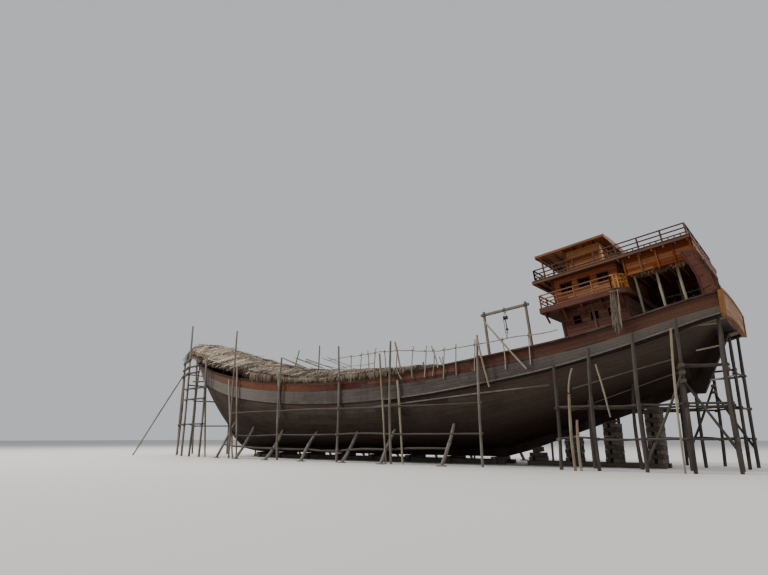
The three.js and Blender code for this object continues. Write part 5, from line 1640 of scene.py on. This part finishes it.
def makeLeaves(name, rows):
    a = awning
    x0, x1 = rows[-1][0], rows[0][0]
    leaves = []
    for facing in (-1, 1):
        for share in a["rows"]:
            for x in np.arange(x0 + 0.1, x1 - 0.05, a["every"]):
                x += dice.uniform(-0.16, 0.16)
                reach = a["leaf"] / max(awningAt(rows, x)[0], 2.4)
                start = max(-0.1, share - reach * dice.uniform(0.75, 1.0))  # the top row crosses the ridge
                foot, tip = onAwning(rows, x, facing * start), onAwning(rows, x, facing * share)
                ahead = tip - foot + np.array([dice.uniform(-0.55, 0.55), 0, dice.uniform(0.0, 0.12)])
                size = float(np.linalg.norm(tip - foot)) / a["leaf"] * dice.uniform(0.85, 1.12)
                foot = foot + np.array([0, 0, 0.03 + 0.07 * (1 - share) + dice.uniform(0, 0.07)])
                tone = leafTone(name, foot, leafDarker[name])
                leaves.append(leafAt(foot, ahead, zAxis, max(0.5, size), tone))
    if name == "fore":  # a ragged clump hangs at the fore end
        for _ in range(a["clump"]):
            x = dice.uniform(24.5, 25.3)
            foot = np.array([x, dice.choice((-1, 1)) * dice.uniform(0.9, 1.5), a["clumpZ"]])
            ahead = (dice.uniform(0.0, 0.5), 0.35 * math.copysign(1, foot[1]), dice.uniform(-1.3, -0.5))
            leaves.append(leafAt(foot, ahead, (1, 0, 0.3), dice.uniform(0.4, 0.62), dice.uniform(0.0, 0.5)))
    lay(leaves, f"awning_{name}_leaves", "thatch", "palm_thatch")
    print(name, "awning leaves:", len(leaves))


# tufts along both eaves, down to the cap rail, and round the awning's open ends
def makeFringe(name, rows):
    f, tufts = fringe, []
    x0, x1 = rows[-1][0], rows[0][0]
    for facing in (-1, 1):
        for share, longer, every, wide, darker in fringeTiers[name]:
            for x in np.arange(x0 + 0.05, x1, every):
                x += dice.uniform(-0.06, 0.06)
                head = onAwning(rows, x, facing * share, -f["lift"] - 0.15 * max(0, 0.9 - share))
                usual = float(np.interp(x, fringeLong[:, 0], fringeLong[:, 1]))
                long = usual * longer * dice.uniform(0.7, 1.2)
                s = at(min(x, topside["ends"][1]))
                gap = head[2] - s["high"]
                if share > 1:
                    long = gap + dice.uniform(*f["beyond"])
                elif abs(head[1]) < s["half"] + side["capOver"] + 0.1:
                    least = (1.2 if facing > 0 else 1.5) * gap
                    closed = share > 0.9 and (x < f["closed"] or facing < 0)
                    long = min(max(long, least), least + f["past"]) if closed else min(long, gap - 0.02)
                if long > f["least"]:
                    outward = (dice.uniform(-0.2, 0.2), facing, 0)
                    # darker tiers paint the shade on leaves hanging under the eave
                    tufts.append(tuftAt(head, outward, long, leafTone(name, head, darker), wide))
    for x, outward in ((x0, -1), (x1, 1)):
        for share in np.arange(*f["ends"]):
            head = onAwning(rows, x + 0.02 * outward, share)
            long = dice.uniform(*f["bowLong" if x > 12 else "endLong"])
            tufts.append(tuftAt(head, (outward, dice.uniform(-0.3, 0.3), 0), long, leafTone(name, head)))
    lay(tufts, f"awning_{name}_fringe", "thatch", "palm_thatch")


awningPosts = [22, 19, 16, 13, 9.9, 6.4, 2.8, -0.8, -4.2, -7.1]
postSizes = {"in": 0.7, "below": 0.24, "post": 0.06, "ledger": 0.05, "ledgerDown": 0.1, "tie": 0.075}


def makeAwningFrames():
    p = postSizes
    for name, facing in sides:
        poles, ties, heads = [], [], []
        for x in awningPosts:
            rows = awningRows["fore" if x > 9.7 else "mid"]
            lean = 0.9 * min(1, max(0, (x - 14) / 8))
            y = facing * (at(x + lean)["half"] - p["in"])
            top = onAwning(rows, x, min(0.98, abs(y) / awningAt(rows, x)[0]), p["below"])[2]
            poles.append(pole((x, y, at(x)["deck"] - 0.05), (x, y, top + 0.1), p["post"]))
            heads.append((x, y, top - p["ledgerDown"]))
        for a, b in zip(heads[:-1], heads[1:]):
            poles.append(pole(a, b, p["ledger"]))
            ties.append(lashing(a, p["tie"]))
        lay(poles, f"awning_poles_{name}", "poleWood", "pole_wood", [f"awning_frame_{name}"])
        lay(ties, f"awning_ties_{name}", "rope", "pole_wood")
    rafters = []
    for rows in awningRows.values():
        x0, x1 = rows[-1][0], rows[0][0]
        for x in np.arange(x0 + 0.35, x1 - 0.3, awning["battens"]):
            spots = [onAwning(rows, x, share, 0.27) for share in np.linspace(-0.96, 0.96, 7)]
            rafters += between(spots, pole, 0.035)
        for share in awning["battenShares"]:
            xs = np.linspace(x0 + 0.05, x1 - 0.1, 7)
            rafters += between([onAwning(rows, x, share, 0.23) for x in xs], pole, 0.032)
    lay(rafters, "awning_rafters", "poleWood", "pole_wood")
    laths = [pole((x0, y, z0), (x1, y - 0.2, z1), awning["lath"]) for x0, z0, x1, z1, y in lathRows]
    lay(laths, "awning_laths", "poleWood", "pole_wood")


for awningName, awningTable in awningRows.items():
    makeLining(awningName, awningTable)
    makeLeaves(awningName, awningTable)
    makeFringe(awningName, awningTable)
makeAwningFrames()
print("awnings done")


# poles round the hull


def treeOf(nodes):
    points, faces = [], []
    for node in nodes:
        mesh = cad[node].data
        faces += [[i + len(points) for i in polygon.vertices] for polygon in mesh.polygons]
        points += [vertex.co / scale for vertex in mesh.vertices]
    return BVHTree.FromPolygons(points, faces)


hullTree = treeOf(["hull_planking", "wale_port", "wale_starboard", "bulwark_port", "bulwark_starboard"])
beside = {"from": 9, "miss": 4.2, "above": 14}  # rays come in from the side, and up from a foot


def firstHit(start, way, reach):
    return hullTree.ray_cast(Vector(start), Vector(way).normalized(), reach)[3]


def headUnder(x, y, top):
    far = firstHit((x, y, 0.0), zAxis, beside["above"])
    return top if far is None else min(top, far)


def onHull(x, z, clear):
    far = firstHit((x, beside["from"], z), (0, -1, 0), beside["from"])
    return (x, (beside["from"] - far if far is not None else beside["miss"]) + clear, z)


stickRows = [  # x, and height of the rail over the cap rail
    (-1.7, 1.55), (-2.6, 1.54), (-3.3, 1.54), (-3.9, 1.56), (-4.8, 1.53), (-5.8, 1.49), (-7.1, 1.28),
    (-8.1, 1.07), (-8.7, 0.97), (-9.5, 0.88), (-10.4, 0.84), (-11.7, 0.77), (-13.6, 0.7), (-15.2, 0.6),
]
stick = {
    "head": (0.6, 1.42), "tail": (1.8, 0.12), "out": 0.1, "below": 1.8, "above": 0.12, "thick": 0.036,
    "bamboo": 0.032, "lean": 0.1, "second": 0.72, "secondThick": 0.0256, "tie": 0.06,
}


def makeStickRails():
    p = stick
    for name, facing in sides:
        sticks, ties, rail = [], [], []
        for i, (x, lift) in enumerate(stickRows):
            s = at(x)
            y, z = facing * (s["half"] + p["out"]), s["high"] + lift
            lean = dice.uniform(-p["lean"], p["lean"])
            low, high = z - p["below"] + 0.1 * (i % 3), z + p["above"] + 0.08 * (i % 4)
            sticks.append(pole((x - lean, y, low), (x + lean, y, high), p["thick"]))
            ties.append(lashing((x, y + facing * 0.02, z), p["tie"]))
            rail.append((x, y + facing * 0.05, z))
        headX, lift = p["head"]
        head = (headX, facing * (at(headX)["half"] + p["out"] + 0.05), at(headX)["high"] + lift)
        x, y, z = rail[-1]
        rail = [head, *rail, (x - p["tail"][0], y, z + p["tail"][1])]
        sticks += between(rail, pole, p["bamboo"])
        sticks += between([(x, y, z - p["second"]) for x, y, z in rail[:5]], pole, p["secondThick"])
        lay(sticks, f"stick_rail_poles_{name}", "palePoleWood", "pole_wood", [f"stick_rail_{name}"])
        lay(ties, f"stick_rail_ties_{name}", "rope", "pole_wood")


shoreRows = [  # x, distance out of the foot, height it leans towards
    (-9.5, 5.9, 3.4), (-4.9, 6, 3), (-1.5, 6, 2.8), (2.5, 6, 2.8), (6.5, 6, 2.9), (10.5, 5.7, 3.2),
    (14, 5, 3.8),
]
shore = {"reach": 2.2, "ray": 9, "into": 0.03, "thick": 0.11, "sole": (0.3, 0.3, 0.06), "ledger": 0.07,
         "ledgerShare": 0.3, "tie": 0.1}
standardRows = [(-12.0, 7.8), (-5.4, 8.1), (-0.6, 8.2), (5.6, 7.9), (12.0, 10.85)]  # x and top
standard = {"out": 0.27, "thick": 0.08, "ledger": 0.055, "levels": (1.9, 3.7), "chock": (0.2, 0.12),
            "tie": 0.1}


def makeShores():
    p = shore
    half, *sole = p["sole"]
    for name, facing in sides:
        timbers, lows, ties, spots = [], [], [], []
        for x, y, z in shoreRows:
            foot = Vector((x, facing * y, 0))
            way = Vector((x, facing * (y - p["reach"]), z)) - foot
            far = firstHit(foot, way, p["ray"]) or way.length
            timbers.append(pole(foot, foot + way.normalized() * (far + p["into"]), p["thick"]))
            lift = sole[1] / 2
            timbers.append(beam(foot + Vector((-half, 0, lift)), foot + Vector((half, 0, lift)), *sole))
            spots.append(foot + way * p["ledgerShare"])
        for a, b in zip(spots[:-1], spots[1:]):
            lows.append(pole(a, b, p["ledger"]))
            ties.append(lashing(a, p["tie"]))
        lay(timbers, f"shore_poles_{name}", "poleWood", "pole_wood", [f"shores_{name}"])
        # ledgers in the hull's shade take the darker pole wood: painted shade
        lay(lows, f"shore_ledgers_{name}", "shadedPoleWood", "dark_pole_wood")
        lay(ties, f"shore_ties_{name}", "rope", "pole_wood")


def makeStandards():
    p = standard
    for name, facing in sides:
        timbers, ledgers, ties, feet = [], [], [], []
        for x, z in standardRows:
            s = at(x)
            y, rail = facing * (s["half"] + p["out"]), s["high"] - 0.05
            timbers.append(pole((x, y, 0), (x, y, z), p["thick"]))
            feet.append((x, y))
            timbers.append(beam((x, facing * (s["half"] + side["capOver"]), rail), (x, y, rail), *p["chock"]))
            ties.append(lashing((x, y, rail), p["tie"]))
        for a, b in zip(feet[:-1], feet[1:]):
            for z in p["levels"]:
                ledgers.append(pole((*a, z), (*b, z), p["ledger"]))
                ties.append(lashing((*a, z), p["tie"]))
        lay(timbers, f"standard_poles_{name}", "poleWood", "pole_wood", [f"standards_{name}"])
        # ledgers in the hull's shade take the darker pole wood: painted shade
        lay(ledgers, f"standard_ledgers_{name}", "shadedPoleWood", "dark_pole_wood")
        lay(ties, f"standard_ties_{name}", "rope", "pole_wood")


# posts as x, distance out and top; ledgers as height and the posts they join; braces as post, height, post and
# height; putlogs as post, height and their inner end; props as foot, post and height
staging = {
    "stern_staging": {
        "posts": [(-16.6, 5.05, 5.6), (-18.6, 5.0, 6.4), (-20.9, 4.85, 7.0), (-23.0, 4.6, 7.6),
                  (-24.8, 3.6, 8.2), (-17.6, 2.6, 5.0), (-20.0, 2.2, 6.0), (-22.4, 2.0, 7.2), (-24.6, 1.4, 8.2)],
        "ledgers": [
            (1.6, [(0, 1), (1, 2), (2, 3), (3, 4)]),
            (3.3, [(0, 1), (1, 2), (2, 3), (3, 4), (5, 6), (6, 7), (7, 8), (0, 5), (2, 6), (4, 8)]),
            (5.2, [(3, 4), (4, 8)]), (5.4, [(7, 8)]),
        ],
        "braces": [(2, 0.4, 3, 4.8), (4, 1.0, 3, 4.4)], "putlogs": [], "props": [], "boards": False,
    },
    "bow_staging": {
        "posts": [(17.0, 4.7, 9.0), (18.7, 4.6, 9.2), (20.2, 4.4, 12.4), (23.2, 3.0, 9.3), (26.4, 0.9, 9.4)],
        "ledgers": [
            (2.9, [(0, 1), (1, 2), (2, 3), (3, 4)]), (5.2, [(0, 1), (1, 2)]), (6.2, [(0, 1), (1, 2)]),
            (7.7, [(1, 2), (2, 3), (3, 4)]), (8.3, [(1, 2), (2, 3)]), (9.0, [(2, 3)]),
        ],
        "braces": [], "putlogs": [(2, 6.6, 0.6), (1, 5.0, 0.6), (3, 7.9, 0.5)],
        "props": [((26.2, 5.9, 0.0), 3, 7.9)], "boards": True,
    },
}
stagingSizes = {
    "post": 0.095, "ledger": 0.06, "brace": 0.07, "board": (0.24, 0.13), "boardPast": (0.1, 0.7), "tie": 0.12,
    "farTop": 9.6,  # the tall post stands on the port side alone
}


def makeStaging(where, plan):
    p, posts = stagingSizes, plan["posts"]
    for name, facing in sides:
        timbers, boards, ties = [], [], []
        spot = lambda i, z: (posts[i][0], facing * posts[i][1], z)
        for x, y, z in posts:
            z = z if facing > 0 else min(z, p["farTop"])
            head = headUnder(x, facing * y, z)
            top = head + (0.02 if head < z else 0)
            timbers.append(pole((x, facing * y, 0), (x, facing * y, top), p["post"]))
        for z, pairs in plan["ledgers"]:
            for i, j in pairs:
                if plan["boards"]:
                    a, b = np.array(spot(i, z)), np.array(spot(j, z))
                    way = (b - a) / np.linalg.norm(b - a)
                    a, b = a - way * dice.uniform(*p["boardPast"]), b + way * dice.uniform(*p["boardPast"])
                    boards.append(beam(a, b, *p["board"]))
                else:
                    timbers.append(pole(spot(i, z), spot(j, z), p["ledger"]))
                ties += [lashing(spot(k, z - 0.03), p["tie"]) for k in (i, j)]
        for i, low, j, high in plan["braces"]:
            timbers.append(pole(spot(i, low), spot(j, high), p["brace"]))
            ties.append(lashing(spot(j, high), p["tie"]))
        for i, z, y in plan["putlogs"]:
            timbers.append(pole(spot(i, z), (posts[i][0], facing * y, z), p["ledger"]))
        for (x, y, z), i, high in plan["props"]:
            timbers.append(pole((x, facing * y, z), spot(i, high), p["brace"]))
        # stern staging poles and bow staging boards take the darker pole wood: painted shade
        look = "poleWood" if boards else "shadedPoleWood"
        lay(timbers, f"{where}_poles_{name}", look, "dark_pole_wood", [f"{where}_{name}"])
        if boards:
            lay(boards, f"{where}_boards_{name}", "shadedPoleWood", "dark_pole_wood")
        lay(ties, f"{where}_ties_{name}", "rope", "dark_pole_wood")


makeStickRails()
makeShores()
makeStandards()
for stagingName, stagingPlan in staging.items():
    makeStaging(stagingName, stagingPlan)
print("poles and staging done")


# loose timbers on the near side, as in the photo: x, z of each end, distance out, radius
looseRows = [
    (-12.0, 7.76, -12.7, 4.6, 5.4, 0.055), (-12.5, 8.65, -15.1, 5.5, 5.35, 0.05),
    (-17.55, 0.0, -17.55, 3.94, 5.6, 0.08), (-17.86, 0.0, -17.86, 2.57, 5.6, 0.075),
    (-17.6, 5.39, -17.3, 4.06, 4.95, 0.05), (-18.9, 5.5, -19.4, 2.7, 4.95, 0.045),
    (-22.8, 7.04, -22.6, 0.0, 4.9, 0.06), (-5.69, 8.02, -6.14, 6.14, 5.41, 0.06),
    (-5.83, 6.22, -6.25, 5.46, 5.47, 0.045), (-5.92, 5.4, -6.3, 0.0, 5.47, 0.07),
    (-4.5, 7.3, -5.05, 0.0, 5.62, 0.065), (-8.6, 7.45, -9.06, 6.02, 5.31, 0.045),
    (-9.17, 6.72, -9.53, 6.0, 5.3, 0.035), (-9.4, 6.7, -9.47, 6.1, 5.3, 0.03),
    (6.16, 6.8, 5.75, 3.2, 5.45, 0.08), (11.7, 7.7, 11.0, 0.0, 5.2, 0.08), (12.82, 6.64, 11.6, 0.0, 5.12, 0.08),
    (17.49, 8.73, 16.5, 0.0, 4.4, 0.09), (7.2, 5.35, 6.29, 8.85, 3.0, 0.06),
]
sternBoards = [  # x, z of each end, distance out
    (-23.6, 5.97, -24.7, 6.13, 3.6), (-24.0, 4.45, -25.1, 4.63, 3.4), (-23.9, 7.26, -24.7, 7.26, 3.6),
]
ribbandRows = [((-17.1, 4.38), (-22.3, 5.80)), ((-16.4, 3.2), (-22.6, 5.28)), ((-3.5, 3.7), (-16.0, 4.6))]
looseSizes = {"board": (0.2, 0.05), "ribband": (0.05, 0.09), "clear": 0.06}


def makeLoose():
    p = looseSizes
    loose = [pole((x0, y, z0), (x1, y, z1), r) for x0, z0, x1, z1, y, r in looseRows]
    loose += [beam((x0, y, z0), (x1, y, z1), *p["board"]) for x0, z0, x1, z1, y in sternBoards]
    lay(loose, "loose_poles", "palePoleWood", "pole_wood")
    battens = []
    for (x0, z0), (x1, z1) in ribbandRows:
        spots = [onHull(x0 + (x1 - x0) * t, z0 + (z1 - z0) * t, p["clear"]) for t in np.linspace(0, 1, 9)]
        battens += between(spots, beam, *p["ribband"], 0.5)
    lay(battens, "ribbands", "poleWood", "pole_wood")


makeLoose()
print("loose timbers done")


# slip: keel blocks, ground ways and the cribs under the rising keel

slip = {
    "blocks": (-10.5, -7, -3.5, 0, 3.5, 7, 10.5, 13.2), "block": (0.44, 2.2, 0.45),
    "ways": (0.75, 0.32, 0.26), "wayEnds": (-11.2, 14.0), "aftWays": (-20.9, -12.7), "aftWay": (0.55, 0.3, 0.25),
    "cribs": (-13.2, -15.6, -18.0, -20.4), "cribFoot": 0.25, "layer": 0.25, "cribHalf": 0.36,
    "keelRise": (-12.5, 0.85, -22.6, 4.2),  # x and height where the keel starts to rise, and further aft
    "along": (0.42, 0.24, (-0.38, 0.0, 0.38)), "across": (0.78, 0.26, (-0.22, 0.22)), "cap": (0.3, 0.5, 0.05),
}


def makeSlip():
    p = slip
    blocks = []
    wide, long, high = p["block"]
    for x in p["blocks"]:
        for k in range(2):
            z = high * (k + 0.5) / 2
            blocks.append(beam((x, -long / 2, z), (x, long / 2, z), wide - 0.04 * k, high / 2 - 0.004))
    middle, wide, high = p["ways"]
    edges = np.linspace(*p["wayEnds"], 5)
    for facing in (-1, 1):
        for a, b in zip(edges[:-1], edges[1:]):
            for k in (-1, 1):
                y, z = facing * middle + k * wide / 4, high / 2
                blocks.append(beam((a + 0.01, y, z), (b - 0.01, y, z), wide / 2 - 0.01, high))
    lay(blocks, "slip_timbers", "blockTimber", "block_timber", ["slipway"])


def makeCribs():
    p = slip
    x0, z0, x1, z1 = p["keelRise"]
    slope = (z1 - z0) / (x1 - x0)
    under = lambda x: z0 + slope * (x - x0)
    capHalf, capWide, least = p["cap"]
    cribs = []
    for x in p["cribs"]:
        z, lengthwise = p["cribFoot"], False
        while z + p["layer"] <= under(x + p["cribHalf"]):
            middle, thick = z + p["layer"] / 2, p["layer"] - 0.006
            half, wide, places = p["along" if lengthwise else "across"]
            for place in places:
                if lengthwise:
                    cribs.append(beam((x - half, place, middle), (x + half, place, middle), wide, thick))
                else:
                    cribs.append(beam((x + place, -half, middle), (x + place, half, middle), wide, thick))
            z, lengthwise = z + p["layer"], not lengthwise
        rest = under(x)
        if rest - z > least:
            a, b = ((end, 0, (z + under(end)) / 2) for end in (x + capHalf, x - capHalf))
            cribs.append(beam(a, b, capWide, rest - z - 0.03))
    middle, wide, high = p["aftWay"]
    for facing in (-1, 1):
        a, b = ((x, facing * middle, high / 2) for x in p["aftWays"])
        cribs.append(beam(a, b, wide, high))
    lay(cribs, "crib_timbers", "blockTimber", "block_timber")


makeSlip()
makeCribs()
print("slip done")


# mouldings edge the quarter boards, and a bundle of dry palm leaves hangs under the gallery's aft corner

quarter = {
    "aft": np.array([(-25.0, 8.9), (-24.75, 9.8), (-24.35, 10.6), (-24.05, 11.2)]),
    "fore": np.array([(-24.4, 8.7), (-24.2, 9.7), (-23.9, 10.5), (-23.6, 11.2)]),
    "y": 4.07, "edge": (0.07, 0.05, 0.4), "slats": 4, "slat": (0.03, 0.05, 0.3),
}
bundle = {"place": (-20.22, 4.72, 9.5), "leaves": 13, "narrow": 0.3, "tie": (0.3, 0.05, 0.03, 0.05)}


def makeQuarterTrim():
    q = quarter
    for name, facing in sides:
        y = facing * (q["y"] + 0.015)
        edges = []
        for route in (q["aft"], q["fore"]):
            edges += between([(x, y, z) for x, z in route], beam, *q["edge"])
        y = facing * (q["y"] + 0.01)
        for k in range(q["slats"]):
            (x0, z0), (x1, z1) = (
                route[0] + (route[-1] - route[0]) * (k + 0.5) / q["slats"] for route in (q["aft"], q["fore"])
            )
            edges.append(beam((x0 + 0.12, y, z0), (x1 - 0.05, y, z1), *q["slat"]))
        lay(edges, f"quarter_trim_{name}", "cabinPlanks", "red_brown_planks")


def makeBundle():
    leaves = []
    x, y, z = bundle["place"]
    for _ in range(bundle["leaves"]):
        foot = np.array([x + dice.uniform(-0.2, 0.2), y + dice.uniform(-0.15, 0.15), z])
        ahead = (dice.uniform(-0.12, 0.12), dice.uniform(-0.06, 0.12), -1.0)
        size, tone = dice.uniform(0.7, 1.0), 0.15 + 0.5 * dice.random() ** 2
        leaf = leafAt(foot, ahead, (dice.uniform(-1, 1), dice.uniform(-1, 1), 0), size, tone)
        leaf[0][:, :2] = foot[:2] + (leaf[0][:, :2] - foot[:2]) * bundle["narrow"]
        leaves.append(leaf)
    lay(leaves, "leaf_bundle", "thatch", "palm_thatch")
    half, down, bar, rope = bundle["tie"]
    z -= down
    tie = [pole((x - half, y, z), (x + half, y, z), bar), lashing((x, y, z), rope)]
    lay(tie, "bundle_tie", "rope", "pole_wood")


aftLeaves = {"sideEvery": 0.12, "faceEvery": 0.15}


# leaves hung inside the aft bay: under both screens, across the open end and beside the saloon's aft wall
def makeAftLeaves():
    tufts = []
    low, top = screen["low"], storey["upperUnder"] - 0.05
    underScreens = [(-3.78, low + 0.1, 2.0), (-3.6, low + 0.3, 2.5), (3.79, low + 0.05, 0.42)]
    besideSaloon = [(-3.75, top, 2.7), (-3.55, top, 3.1), (-3.3, top, 2.8)]
    for x in np.arange(upper["aft"] + 0.1, storeys["saloon"]["aft"] + 0.1, aftLeaves["sideEvery"]):
        for y, z, long in besideSaloon if x > screen["front"] - 0.35 else underScreens:
            head = np.array([x + dice.uniform(-0.05, 0.05), y, z])
            outward = (dice.uniform(-0.3, 0.3), 1, 0)
            tufts.append(tuftAt(head, outward, long * dice.uniform(0.7, 1.2), dice.random() ** 1.5))
    for y in np.arange(-3.7, 3.75, aftLeaves["faceEvery"]):
        for x, z, long in ((upper["aft"] + 0.14, 1.3, 1.0), (upper["aft"] + 0.3, top, 1.7)):
            head = np.array([x, y + dice.uniform(-0.06, 0.06), z])
            outward = (-1, dice.uniform(-0.3, 0.3), 0)
            tufts.append(tuftAt(head, outward, long * dice.uniform(0.5, 1.2), dice.random() ** 1.5))
    # the darker, browner thatch paints part of the shade inside the bay
    inHouse(tufts, "aft_bay_leaves", "shadedBrownThatch", "palm_thatch")


makeQuarterTrim()
makeBundle()
makeAftLeaves()
print("trimmings done")
